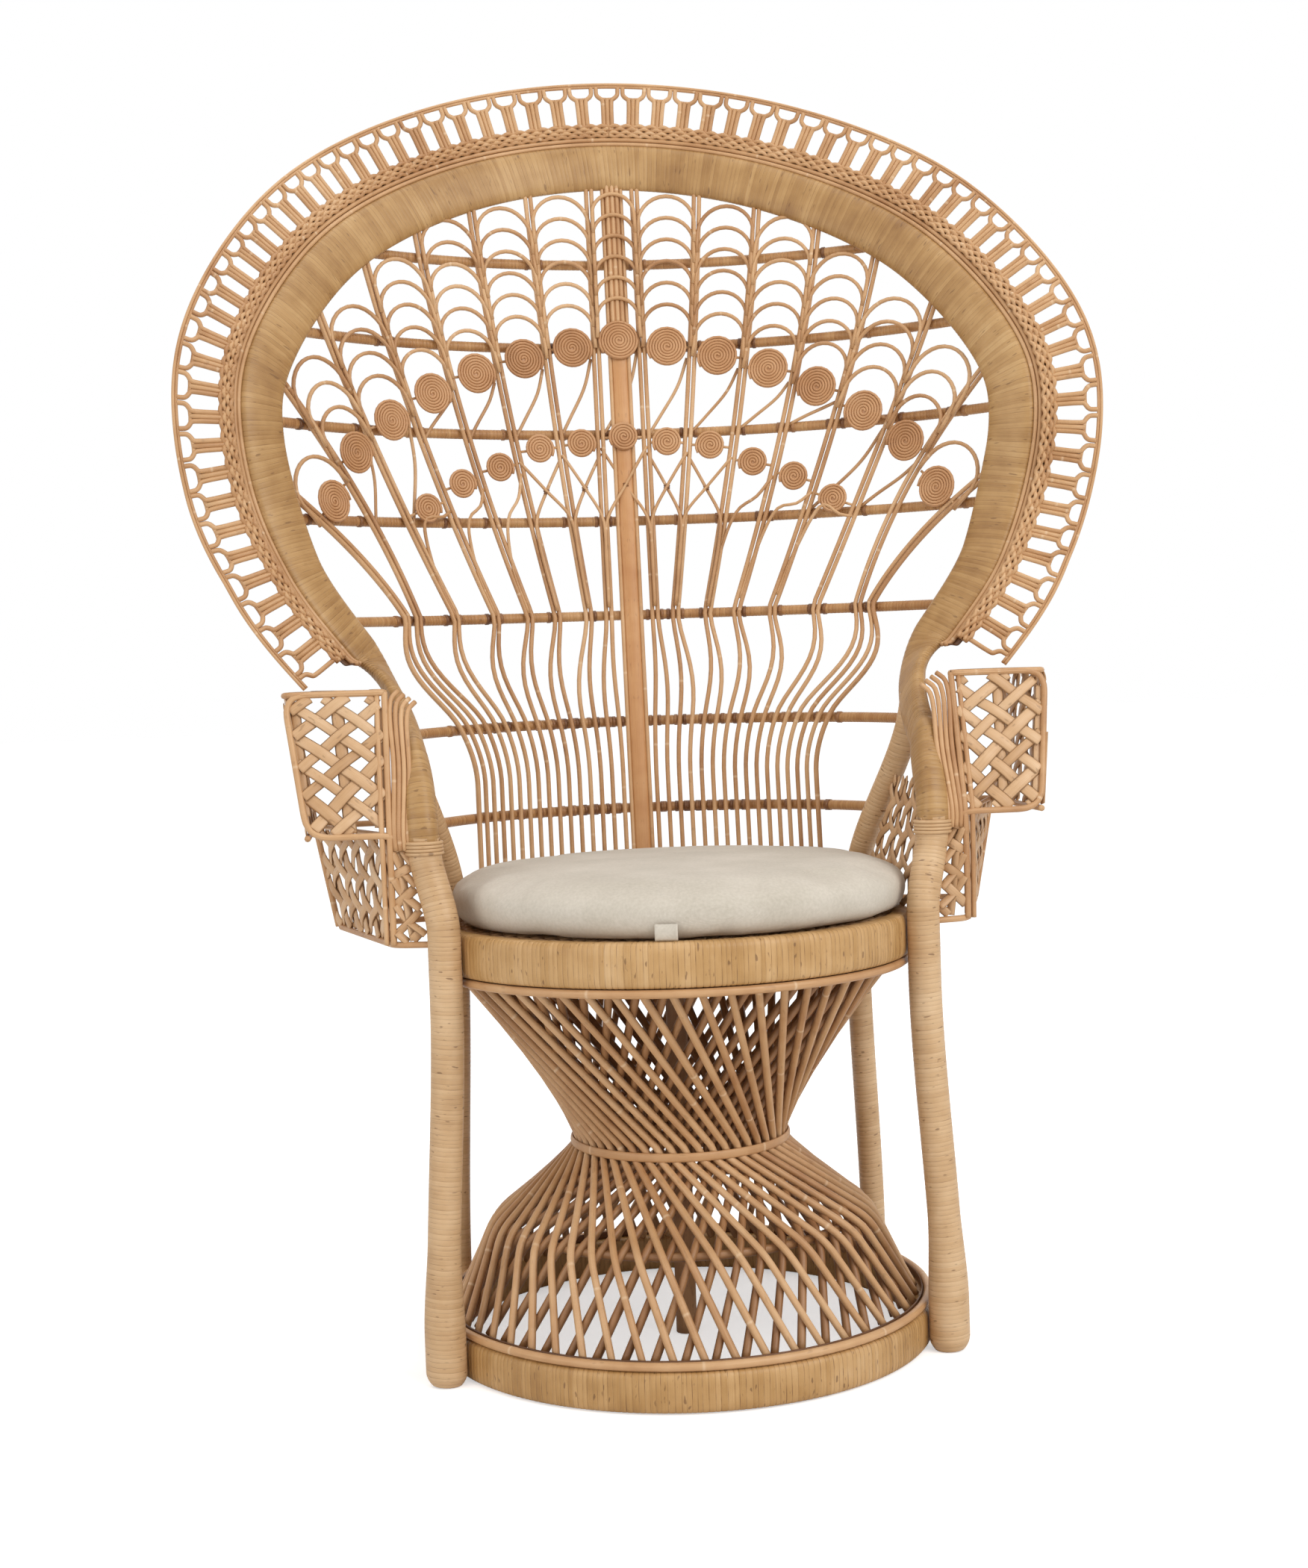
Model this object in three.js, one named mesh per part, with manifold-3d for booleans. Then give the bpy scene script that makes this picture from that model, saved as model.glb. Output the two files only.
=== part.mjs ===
import * as THREE from 'three';
import Module from 'manifold-3d';
import { mergeVertices } from 'three/addons/utils/BufferGeometryUtils.js';

// Peacock chair in wrapped rattan. Millimetres, Z up, the sitter looks along -Y.
// The shapes are set out from the axis of the round base, and the whole chair is moved
// at the end so that the middle of its footprint is the origin.

// Fit between pieces that touch: straight ones, those that bend, and those at the edge of
// the back, which bend both ways. Rods that are bound to each other overlap by the lap.
const clearance = 0.3;
const curveFit = 1.25;
const edgeFit = 2.6;
const bindingLap = 1;

// Round base and seat
const baseRadius = 270;
const baseHoopHeight = 42;
const seatInset = 12;
const seatHeight = 463;
const seatHoopHeight = 46;
const hoopThickness = 24;
const trimRodRadius = 4.5;
const trimRodInset = 1;
const deckThickness = 8;
const hoopSegments = 36;

// Hourglass cage between the base and the seat
const cageRodCount = 50;
const cageRodRadius = 4.2;
const waistRadius = 117;
const waistHeight = 220;
const waistRingHeight = 9;
const shoulderRadius = 207;
const shoulderHeight = 135;
const shoulderTwist = 27;
const lowerTwist = 37;
const upperTwist = 41;
const centrePostRadius = 12;

// Legs, which stand outside the base and the seat
const frontFootRadius = 21.5;
const frontFootHeight = 50;
const frontFootTaper = 100;
const frontLegRadius = 17.3;
const frontLegAngle = -24.5;
const postTopSide = 268;
const postTopDepth = -97;
const postTopShare = 0.10875;
const rearLegRadius = 14;
const rearLegAngle = 31;
const rearLegTopShare = 0.2657;
const rearLegBendShares = [0.33, 0.67];
const legSides = 8;
const postRingHeight = 13;
const postRingThickness = 3;

// Shell of the back: level arcs that open out with height, leaning back
const fanShellMargin = 85;
const shellStartShare = 0.1535;
const shellFullShare = 0.557;
const backLeanSlope = 0.137;
const steepestShare = 0.98;

// Wide wrapped band that frames the back
const bandTopHeight = 1355;
const bandHalfSpan = 425;
const bandWidth = 56;
const bandThickness = 16;
const bandFootSize = 33;
const bandFlareShare = 0.3;
const bandSweepShare = 0.333;
const bandSteps = 46;
const outlineCount = 460;
const bandSideShares = [0, 0.43, 0.777, 0.977, 1, 0.911, 0.682, 0.64];
const bandRiseShares = [1, 0.963, 0.86, 0.703, 0.602, 0.44, 0.272, 0.198];

// Openwork border outside the band
const edgeRodRadius = 3.5;
const edgeRodEndShare = 0.316;
const borderEndShare = 0.342;
const borderLinkCount = 70;
const borderBarShare = 0.4;
const borderRailWidth = 9;
const borderWidth = 49;
const borderThickness = 6;
const rimRodRadius = 3;

// Spine, and the ribs that cross behind the fan
const spineWidth = 28;
const spineRecess = 1.5;
const ribRadius = 6;
const ribRiseShares = [0.8655, 0.748, 0.627, 0.506, 0.3756, 0.23, 0.112];
const lowRibs = 2;

// Fan of thin rods, which draw together in pairs above the low ribs
const spokeRadius = 3;
const spokeFootDrop = 30;
const fanFootAngle = 50;
const pairFootShares = [0.067, 0.125, 0.2165, 0.2965, 0.393, 0.508, 0.614, 0.645];
const pairTopShares = [0.067, 0.247, 0.414, 0.574, 0.722, 0.833, 0.941, 0.944];
const pairTopRiseShares = [0.963, 0.95, 0.926, 0.893, 0.848, 0.748, 0.669, 0.538];
const pairBowShares = [0, 0.09, 0.09, 0.1, 0.07, 0.035, -0.08, -0.08];
const pairCount = pairFootShares.length;
const spokeLastBendShare = 0.65;
const spokeEndShare = 0.2;

// Coiled discs between the rods, and the arches stacked above them
const discThickness = 7;
const discSides = 8;
const upperDiscRadius = 22;
const lowerDiscRadius = 16;
const upperDiscRiseShares = [0.744, 0.728, 0.706, 0.676, 0.637, 0.591, 0.525];
const centreUpperDiscShare = 0.7545;
const lowerDiscRiseShares = [0.611, 0.604, 0.578, 0.555, 0.521];
const centreLowerDiscShare = 0.62;
const archRodRadius = 2.2;
const archPitch = 45;
const archRise = 24;
const archShares = [[-1, 0], [-0.5, 1], [0.5, 1], [1, 0]];
const archCounts = [4, 4, 4, 3, 3, 3, 2];
const centreArchCount = 4;

// Arms: frames of thin rod filled with flat cane
const armRodRadius = 3;
const armUprightRadius = 3.5;
const armDiagonalRadius = 2.6;
const armInnerSide = 302;
const armTopShare = 0.2814;
const armTierShare = 0.1177;
const armFootDrop = 8;
const armTopFrontDepth = -58;
const armTierFrontDepth = -104;
const armTopSide = 406;
const armTierSide = 385;
const armFootSide = 364;
const armRearDepth = 96;
const armRearInnerSide = 350;
const armPostDrop = 12;
const caneThickness = 3;
const caneOpeningShare = 0.3;
const caneInsetShare = 1.45;

// Seat cushion with its fabric tab
const cushionInset = 10;
const cushionShift = 7;
const cushionThickness = 64;
const cushionCrown = 15;
const cushionEdgeDraw = 9;
const cushionSideRiseShares = [0.12, 0.35, 0.6, 0.85, 1];
const cushionSideDrawShares = [1, 0.15, 0, 0.4, 1];
const cushionTopSideShares = [0.8, 0.45];
const cushionTopRiseShares = [0.55, 0.9];
const cushionSegments = 24;
const tabAngle = -100.2;
const tabWidth = 22;
const tabHeight = 20;
const tabThickness = 2;

// Fineness of the shapes: points closer than the weld are one, flat areas are merged
// within the flatness, directions are taken over the fine step
const weld = clearance / 100;
const flatness = clearance / 6;
const fineStep = 1;
const outlineStepShare = 0.001;
const halvings = 40;

const degree = Math.PI / 180;
const seatRadius = baseRadius - seatInset;
const bandRise = bandTopHeight - seatHeight;
const spokeShell = seatRadius + clearance + spokeRadius;
const spokeFoot = seatHeight - spokeFootDrop;
const seatHoopFoot = seatHeight - seatHoopHeight;
const baseTrimHeight = baseHoopHeight + clearance + trimRodRadius;
const seatTrimHeight = seatHoopFoot - clearance - trimRodRadius;
const cushionRadius = seatRadius - cushionInset;
const postTopHeight = atRise(postTopShare);
const rearLegTopHeight = atRise(rearLegTopShare);
const armTopHeight = atRise(armTopShare);
const armTierHeight = atRise(armTierShare);
const armFootHeight = seatHeight - armFootDrop;
const fanShellRadius = bandHalfSpan + fanShellMargin;
const shellStartHeight = atRise(shellStartShare);
const shellFullHeight = atRise(shellFullShare);
const bandSweepHeight = atRise(bandSweepShare);

const wasm = await Module();
wasm.setup();

function vec(x, y, z) {
  return new THREE.Vector3(x, y, z);
}

function mix(a, b, share) {
  return a + (b - a) * share;
}

function smooth(share) {
  const s = Math.min(1, Math.max(0, share));
  return s * s * (3 - 2 * s);
}

function polar(radius, angle, z) {
  return vec(radius * Math.cos(angle * degree), radius * Math.sin(angle * degree), z);
}

function atRise(share) {
  return seatHeight + share * bandRise;
}

// Surface with shared vertices, facing out whatever way it was drawn
function closed(geometry) {
  const bare = geometry.clone();
  bare.deleteAttribute('normal');
  bare.deleteAttribute('uv');
  const merged = mergeVertices(bare, weld);
  const place = merged.attributes.position;
  const corners = Array.from(merged.index.array);
  const kept = [];
  let volume = 0;
  for (let i = 0; i < corners.length; i += 3) {
    const triangle = corners.slice(i, i + 3);
    if (new Set(triangle).size < 3) continue;
    const [a, b, c] = triangle.map((corner) => vec(0, 0, 0).fromBufferAttribute(place, corner));
    volume += a.dot(b.cross(c));
    kept.push(...triangle);
  }
  if (volume < 0) kept.reverse();
  merged.setIndex(kept);
  return merged;
}

function toSolid(geometry) {
  const shell = closed(geometry);
  const vertProperties = new Float32Array(shell.attributes.position.array);
  const triVerts = new Uint32Array(shell.index.array);
  return new wasm.Manifold(new wasm.Mesh({ numProp: 3, vertProperties, triVerts }));
}

function fromSolid(solid) {
  const mesh = solid.simplify(flatness).getMesh();
  const geometry = new THREE.BufferGeometry();
  geometry.setAttribute('position', new THREE.BufferAttribute(mesh.vertProperties, 3));
  geometry.setIndex(new THREE.BufferAttribute(mesh.triVerts, 1));
  return geometry;
}

function join(parts) {
  return fromSolid(parts.map(toSolid).reduce((whole, part) => whole.add(part)));
}

// What is left of a piece beside its neighbours: its largest part
function cut(geometry, cutters) {
  const rest = cutters.map(toSolid).reduce((whole, cutter) => whole.subtract(cutter), toSolid(geometry));
  const bodies = rest.decompose().sort((a, b) => b.volume() - a.volume());
  return fromSolid(bodies[0]);
}

function mirrored(geometry) {
  return closed(geometry.clone().scale(-1, 1, 1));
}

// Path through points that keeps its section turned towards a given side
class GuidedCurve extends THREE.Curve {
  constructor(points, facings) {
    super();
    this.points = points;
    this.facings = facings;
  }

  getPoint(t, target = new THREE.Vector3()) {
    const place = t * (this.points.length - 1);
    const i = Math.min(Math.floor(place), this.points.length - 2);
    return target.lerpVectors(this.points[i], this.points[i + 1], place - i);
  }

  getSpacedPoints(divisions) {
    return this.getPoints(divisions);
  }

  computeFrenetFrames(segments) {
    const frames = { tangents: [], normals: [], binormals: [] };
    for (let i = 0; i <= segments; i++) {
      const tangent = this.getTangent(i / segments);
      const facing = this.facings[i].clone();
      const normal = facing.addScaledVector(tangent, -facing.dot(tangent)).normalize();
      frames.tangents.push(tangent);
      frames.normals.push(normal);
      frames.binormals.push(vec(0, 0, 0).crossVectors(tangent, normal));
    }
    return frames;
  }
}

function rodAlong(points, facings, section) {
  const extrudePath = new GuidedCurve(points, facings);
  const steps = points.length - 1;
  return closed(new THREE.ExtrudeGeometry(section, { steps, extrudePath, bevelEnabled: false }));
}

// Section whose flats lie at the rod's radius, so that rods meet flat to flat
function rectangle(width, thickness) {
  const [w, t] = [width / 2, thickness / 2];
  const corners = [[-t, -w], [t, -w], [t, w], [-t, w]];
  return new THREE.Shape(corners.map(([x, y]) => new THREE.Vector2(x, y)));
}

function squareRod(radius) {
  return rectangle(2 * radius, 2 * radius);
}

// Ring turned about the chair's axis from a closed section of [radius, height] points
function turned(points) {
  const profile = [...points, points[0]].map(([r, z]) => new THREE.Vector2(r, z));
  return closed(new THREE.LatheGeometry(profile, hoopSegments).rotateX(Math.PI / 2));
}

function roundRing(radius, height, rodRadius) {
  return turned([[radius - rodRadius, height], [radius, height - rodRadius],
    [radius + rodRadius, height], [radius, height + rodRadius]]);
}

// Solid through rings that all have the same number of points
function loft(rings) {
  const sides = rings[0].length;
  const positions = rings.flat().flatMap((point) => point.toArray());
  const index = [];
  for (let level = 1; level < rings.length; level++) {
    for (let i = 0; i < sides; i++) {
      const [a, b] = [(level - 1) * sides + i, (level - 1) * sides + ((i + 1) % sides)];
      index.push(a, b, b + sides, a, b + sides, a + sides);
    }
  }
  const last = (rings.length - 1) * sides;
  for (let i = 1; i < sides - 1; i++) {
    index.push(0, i + 1, i);
    index.push(last, last + i, last + i + 1);
  }
  const geometry = new THREE.BufferGeometry();
  geometry.setAttribute('position', new THREE.Float32BufferAttribute(positions, 3));
  geometry.setIndex(index);
  return closed(geometry);
}

function levelRing(centre, radius) {
  const ring = [];
  for (let i = 0; i < legSides; i++) {
    ring.push(polar(radius, (360 * (i + 0.5)) / legSides, 0).add(centre));
  }
  return ring;
}

// Shell of the back

function shellRadius(z) {
  const opening = smooth((z - shellStartHeight) / (shellFullHeight - shellStartHeight));
  return mix(spokeShell, fanShellRadius, opening);
}

function spineDepth(z) {
  return spokeShell + backLeanSlope * Math.max(0, z - spokeFoot);
}

function shellPoint(x, z) {
  const radius = shellRadius(z);
  return vec(x, spineDepth(z) - radius + Math.sqrt(Math.max(0, radius * radius - x * x)), z);
}

// Direction from the shell towards the sitter
function shellFacing(x, z) {
  const side = Math.sign(x) * Math.min(steepestShare, Math.abs(x) / shellRadius(z));
  return vec(-side, -Math.sqrt(1 - side * side), backLeanSlope).normalize();
}

// The same for the fan, which leans more where the shell opens out
function fanFacing(x, z) {
  const rise = shellPoint(x, z + fineStep).sub(shellPoint(x, z - fineStep));
  const level = vec(0, 0, 1).cross(shellFacing(x, z));
  return level.cross(rise).normalize();
}

// Band: its centre line runs from the left post over the top to the right post

const rightOutline = bandSideShares.map((share, i) => vec(share * bandHalfSpan, 0, atRise(bandRiseShares[i])));
rightOutline.push(vec(postTopSide, 0, postTopHeight));
const leftOutline = rightOutline.slice(1).reverse().map((point) => vec(-point.x, 0, point.z));
const outline = new THREE.CatmullRomCurve3([...leftOutline, ...rightOutline], false, 'centripetal');

// Both halves of the outline are mirror images
function outlinePoint(t) {
  const flat = outline.getPointAt(0.5 + Math.abs(t - 0.5));
  flat.x = Math.sign(t - 0.5) * Math.abs(flat.x);
  return flat;
}

function bandPoint(t) {
  const flat = outlinePoint(t);
  const sweep = smooth((bandSweepHeight - flat.z) / (bandSweepHeight - postTopHeight));
  return vec(flat.x, mix(shellPoint(flat.x, flat.z).y, postTopDepth, sweep), flat.z);
}

function bandFacing(t) {
  const { x, z } = outlinePoint(t);
  const flare = bandFlareShare * smooth((z - bandSweepHeight) / (shellFullHeight - bandSweepHeight));
  return shellFacing(x, z).lerp(vec(0, -1, 0), flare).normalize();
}

function stepAround(t) {
  return [Math.max(0, t - outlineStepShare), Math.min(1, t + outlineStepShare)];
}

// Direction across the band, away from the middle of the back
function bandOutward(t) {
  const [from, to] = stepAround(t).map(bandPoint);
  return vec(0, 0, 0).crossVectors(bandFacing(t), to.sub(from)).normalize();
}

function bandSize(z) {
  const spread = smooth((z - postTopHeight) / (bandSweepHeight - postTopHeight));
  return { width: mix(bandFootSize, bandWidth, spread), thickness: mix(bandFootSize, bandThickness, spread) };
}

// Right-hand place on the outline at a height
function outlineShareAt(z) {
  let [low, high] = [0.5, 1];
  for (let i = 0; i < halvings; i++) {
    const middle = (low + high) / 2;
    if (outlinePoint(middle).z > z) low = middle;
    else high = middle;
  }
  return low;
}

function makeBand(growth) {
  const rings = [];
  for (let i = 0; i <= bandSteps; i++) {
    const t = i / bandSteps;
    const { width, thickness } = bandSize(bandPoint(t).z);
    const [w, h] = [width / 2 + growth, thickness / 2 + growth];
    const section = [[-w, 0], [-w + h, h], [w - h, h], [w, 0], [w - h, -h], [-w + h, -h]];
    const [across, facing] = [bandOutward(t), bandFacing(t)];
    rings.push(section.map(([u, v]) => bandPoint(t).addScaledVector(across, u).addScaledVector(facing, v)));
  }
  return loft(rings);
}

// The band with room for its clearance, which cuts what ends on it
const band = makeBand(clearance);

function makeEdgeRod(order) {
  const end = outlineShareAt(atRise(edgeRodEndShare));
  const offset = bandWidth / 2 + edgeFit + edgeRodRadius + order * (2 * edgeRodRadius + curveFit);
  const points = [];
  const facings = [];
  for (let i = 0; i <= bandSteps; i++) {
    const t = mix(1 - end, end, i / bandSteps);
    points.push(bandPoint(t).addScaledVector(bandOutward(t), offset));
    facings.push(bandFacing(t));
  }
  return rodAlong(points, facings, squareRod(edgeRodRadius));
}

// Border

const borderStart = bandWidth / 2 + 2 * edgeFit + curveFit + 4 * edgeRodRadius;
const borderEnd = outlineShareAt(atRise(borderEndShare));

// The border stands out from the band, turned halfway into the plane of its outline
function borderPoint(t, distance) {
  const [from, to] = stepAround(t).map(outlinePoint);
  const along = to.sub(from);
  const outward = vec(-along.z, 0, along.x).normalize().add(bandOutward(t)).normalize();
  return bandPoint(t).addScaledVector(bandOutward(t), borderStart).addScaledVector(outward, distance);
}

// Plate of cells that are open or filled, both faces placed by a function of column, row
// and side. A plate that goes right round shares its first and last columns.
function openwork(columns, rows, goesRound, isOpen, place) {
  const positions = [];
  const index = [];
  const wrap = (i) => (goesRound ? (i + columns) % columns : i);
  const corner = (i, j, side) => (side * (columns + 1) + wrap(i)) * (rows + 1) + j;
  const within = (i, j) => (goesRound || (i >= 0 && i < columns)) && j >= 0 && j < rows;
  const filled = (i, j) => within(i, j) && !isOpen(wrap(i), j);
  const quad = (a, b, c, d) => index.push(a, b, c, a, c, d);
  for (const side of [0, 1]) {
    for (let i = 0; i <= columns; i++) {
      for (let j = 0; j <= rows; j++) positions.push(...place(i, j, side).toArray());
    }
  }
  for (let i = 0; i < columns; i++) {
    for (let j = 0; j < rows; j++) {
      if (!filled(i, j)) continue;
      quad(corner(i, j, 0), corner(i, j + 1, 0), corner(i + 1, j + 1, 0), corner(i + 1, j, 0));
      quad(corner(i, j, 1), corner(i + 1, j, 1), corner(i + 1, j + 1, 1), corner(i, j + 1, 1));
      const wall = (a, b, c, d) => quad(corner(a, b, 0), corner(c, d, 0), corner(c, d, 1), corner(a, b, 1));
      if (!filled(i - 1, j)) wall(i, j + 1, i, j);
      if (!filled(i + 1, j)) wall(i + 1, j, i + 1, j + 1);
      if (!filled(i, j - 1)) wall(i, j, i + 1, j);
      if (!filled(i, j + 1)) wall(i + 1, j + 1, i, j + 1);
    }
  }
  const geometry = new THREE.BufferGeometry();
  geometry.setAttribute('position', new THREE.Float32BufferAttribute(positions, 3));
  geometry.setIndex(index);
  return closed(geometry);
}

// Right half of the border: bars that stand on a rail and reach to the rim
function makeBorder() {
  const count = borderLinkCount / 2;
  const start = 0.5 + clearance / 2 / outline.getLength();
  const distances = [0, borderRailWidth, borderWidth];
  const place = (i, j, side) => {
    const share = (Math.floor(i / 2) + (i % 2 ? borderBarShare : 0)) / count;
    const depth = side ? borderThickness / 2 : -borderThickness / 2;
    return borderPoint(mix(start, borderEnd, share), distances[j]).add(vec(0, depth, 0));
  };
  return openwork(2 * count - 1, 2, false, (i, j) => i % 2 === 1 && j === 1, place);
}

function makeRim() {
  const points = [];
  const facings = [];
  const distance = borderWidth + edgeFit + rimRodRadius;
  for (let i = 0; i <= bandSteps; i++) {
    points.push(borderPoint(mix(1 - borderEnd, borderEnd, i / bandSteps), distance));
    facings.push(vec(0, -1, 0));
  }
  return rodAlong(points, facings, squareRod(rimRodRadius));
}

// Fan: the two rods of a pair stand side by side above the gathering height

const ribHeights = ribRiseShares.map(atRise);
const gatherHeight = ribHeights[ribHeights.length - 1 - lowRibs];
const spreadHeight = ribHeights[ribHeights.length - lowRibs];

function pairSide(k, z) {
  const foot = pairFootShares[k] * bandHalfSpan;
  const top = pairTopShares[k] * bandHalfSpan;
  const t = (z - gatherHeight) / (atRise(pairTopRiseShares[k]) - gatherHeight);
  return mix(foot, top, t) + 4 * pairBowShares[k] * t * (1 - t) * (top - foot);
}

// Angle from the spine of a rod's foot, counted over all the rods of one side
function footAngle(order) {
  const first = Math.asin((spineWidth / 2 + clearance + 2 * spokeRadius) / spokeShell);
  return mix(first, fanFootAngle * degree, order / (2 * pairCount - 1));
}

function gathering(z) {
  return smooth((z - spreadHeight) / (gatherHeight - spreadHeight));
}

function pairDirection(k, z) {
  const above = shellPoint(pairSide(k, z + fineStep), z + fineStep);
  return above.sub(shellPoint(pairSide(k, z - fineStep), z - fineStep)).normalize();
}

function spokePoint(k, member, z) {
  const upperZ = Math.max(z, gatherHeight);
  const spread = shellRadius(z) * Math.sin(footAngle(2 * k + member));
  const centre = shellPoint(mix(spread, pairSide(k, upperZ), gathering(z)), z);
  const across = vec(0, 0, 0).crossVectors(pairDirection(k, upperZ), fanFacing(centre.x, upperZ)).normalize();
  const offset = (member ? 1 : -1) * gathering(z) * (spokeRadius + clearance);
  return centre.addScaledVector(across, offset * Math.sign(across.x));
}

// Height at which a pair reaches the middle of the band
function spokeTop(k) {
  const line = outline.getPoints(outlineCount);
  let z = gatherHeight;
  const gap = () => Math.min(...line.map((point) => Math.hypot(point.x - pairSide(k, z), point.z - z)));
  while (z < bandTopHeight && gap() > spokeEndShare * bandWidth) z += fineStep;
  return z;
}

// Bends of a rod: at each rib except the highest ones, where the fan runs nearly straight
function spokeKnots(k, member) {
  const top = spokeTop(k);
  const bends = [...ribHeights].reverse().filter((z) => z <= atRise(spokeLastBendShare));
  return [spokeFoot, ...bends.filter((z) => z < top - bandWidth / 2), top].map((z) => spokePoint(k, member, z));
}

function makeSpoke(k, member, growth) {
  const points = spokeKnots(k, member);
  const facings = points.map((point) => fanFacing(point.x, point.z));
  return rodAlong(points, facings, squareRod(spokeRadius + growth));
}

// Place and direction of a rod at a height
function alongSpoke(k, member, z) {
  const points = spokeKnots(k, member);
  let i = 1;
  while (i < points.length - 1 && points[i].z < z) i += 1;
  const direction = points[i].clone().sub(points[i - 1]);
  const point = points[i].clone().addScaledVector(direction, (z - points[i].z) / direction.z);
  return { point, direction: direction.normalize() };
}

// Gap between two neighbouring rods at a height, as a frame with its half width.
// The middle column lies between the first rod and its mirror image, in front of the spine.
function columnFrame(k, z) {
  const flip = vec(k < 0 ? -1 : 1, 1, 1);
  const inner = k < 0 ? alongSpoke(0, 0, z) : alongSpoke(k, 1, z);
  const outer = alongSpoke(k + 1, 0, z);
  const chord = outer.point.clone().sub(inner.point.multiply(flip));
  const middle = inner.point.clone().addScaledVector(chord, 0.5);
  const along = inner.direction.multiply(flip).add(outer.direction).normalize();
  const across = chord.addScaledVector(along, -chord.dot(along));
  const reach = across.length() / 2;
  across.normalize();
  const facing = vec(0, 0, 0).crossVectors(across, along).normalize();
  const lift = k < 0 ? spokeRadius - spineRecess + clearance : -archRodRadius;
  return { middle, along, across, facing, reach, lift };
}

function framePoint(frame, x, y, lift) {
  return frame.middle.clone().addScaledVector(frame.across, x)
    .addScaledVector(frame.along, y).addScaledVector(frame.facing, lift);
}

function discAt(frame, radius) {
  const disc = new THREE.CylinderGeometry(radius, radius, discThickness, discSides);
  disc.rotateX(Math.PI / 2).rotateZ(Math.PI / discSides);
  const origin = framePoint(frame, 0, 0, frame.lift + discThickness / 2);
  return closed(disc.applyMatrix4(
    new THREE.Matrix4().makeBasis(frame.across, frame.along, frame.facing).setPosition(origin),
  ));
}

// Rod between the two sides of a column, its ends let into them
function crossRod(frame, shape) {
  const reach = frame.reach - bindingLap;
  const lift = frame.lift + archRodRadius;
  const points = shape.map(([x, y]) => framePoint(frame, x * reach, y * archRise, lift));
  return rodAlong(points, points.map(() => frame.facing), squareRod(archRodRadius));
}

// One column of the fan: the rods on its two sides with the discs and arches they hold
function makeColumn(k, upperShare, lowerShare, archCount) {
  const rods = (first, second, growth) => {
    const right = makeSpoke(k + 1, second, growth);
    return [right, k < 0 ? mirrored(right) : makeSpoke(k, first, growth)];
  };
  const parts = rods(1, 0, 0);
  const discs = [[upperShare, upperDiscRadius]];
  if (lowerShare) discs.push([lowerShare, lowerDiscRadius]);
  for (const [share, radius] of discs) {
    const frame = columnFrame(k, atRise(share));
    parts.push(crossRod(frame, [[-1, 0], [1, 0]]));
    parts.push(discAt(frame, Math.min(radius, frame.reach - spokeRadius - clearance)));
  }
  const start = columnFrame(k, atRise(upperShare));
  for (let i = 0; i < archCount; i++) {
    const travel = Math.min(upperDiscRadius, start.reach) + archRodRadius + i * archPitch;
    const frame = columnFrame(k, atRise(upperShare) + travel * start.along.z);
    parts.push(crossRod(frame, archShares));
  }
  return cut(join(parts), [band, ...rods(0, 1, clearance)]);
}

function makeSpine() {
  const thickness = 2 * spokeRadius - spineRecess;
  const behind = vec(0, spineRecess / 2, 0);
  const heights = [spokeFoot, bandTopHeight];
  const points = heights.map((z) => shellPoint(0, z).add(behind));
  const facings = heights.map((z) => shellFacing(0, z));
  return cut(rodAlong(points, facings, rectangle(spineWidth, thickness)), [band]);
}

// A rib lies behind the fan, bent where it passes each pair of rods
function makeRib(z) {
  const low = z < gatherHeight;
  const end = low ? rearLegPoint(z).x : outlinePoint(outlineShareAt(z)).x;
  const right = [0];
  for (let k = 0; k < pairCount; k++) right.push((spokePoint(k, 0, z).x + spokePoint(k, 1, z).x) / 2);
  right.push(spokePoint(pairCount - 1, 1, z).x);
  while (right[right.length - 1] > end - spokeEndShare * bandWidth) right.pop();
  right.push(end);
  const sides = [...right.slice(1).reverse().map((x) => -x), ...right];
  const behind = spokeRadius + curveFit + ribRadius;
  const facings = sides.map((x) => fanFacing(x, z));
  const points = sides.map((x, i) => shellPoint(x, z).addScaledVector(facings[i], -behind));
  const rib = rodAlong(points, facings, squareRod(ribRadius));
  if (!low) return cut(rib, [band]);
  const besides = [makeRearLeg(clearance), makeSpoke(pairCount - 1, 1, clearance)];
  return cut(rib, [band, ...besides, ...besides.map(mirrored)]);
}

// Round base and seat

function hoopSection(radius, foot, height) {
  const inner = radius - hoopThickness;
  return [[inner, foot], [radius, foot], [radius, foot + height], [inner, foot + height]];
}

function makeTrim(radius, height) {
  return roundRing(radius - trimRodInset - trimRodRadius, height, trimRodRadius);
}

function makeDeck() {
  const radius = seatRadius - hoopThickness - clearance;
  const deck = new THREE.CylinderGeometry(radius, radius, deckThickness, hoopSegments);
  return closed(deck.rotateX(Math.PI / 2).translate(0, 0, seatHeight - deckThickness / 2));
}

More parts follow.
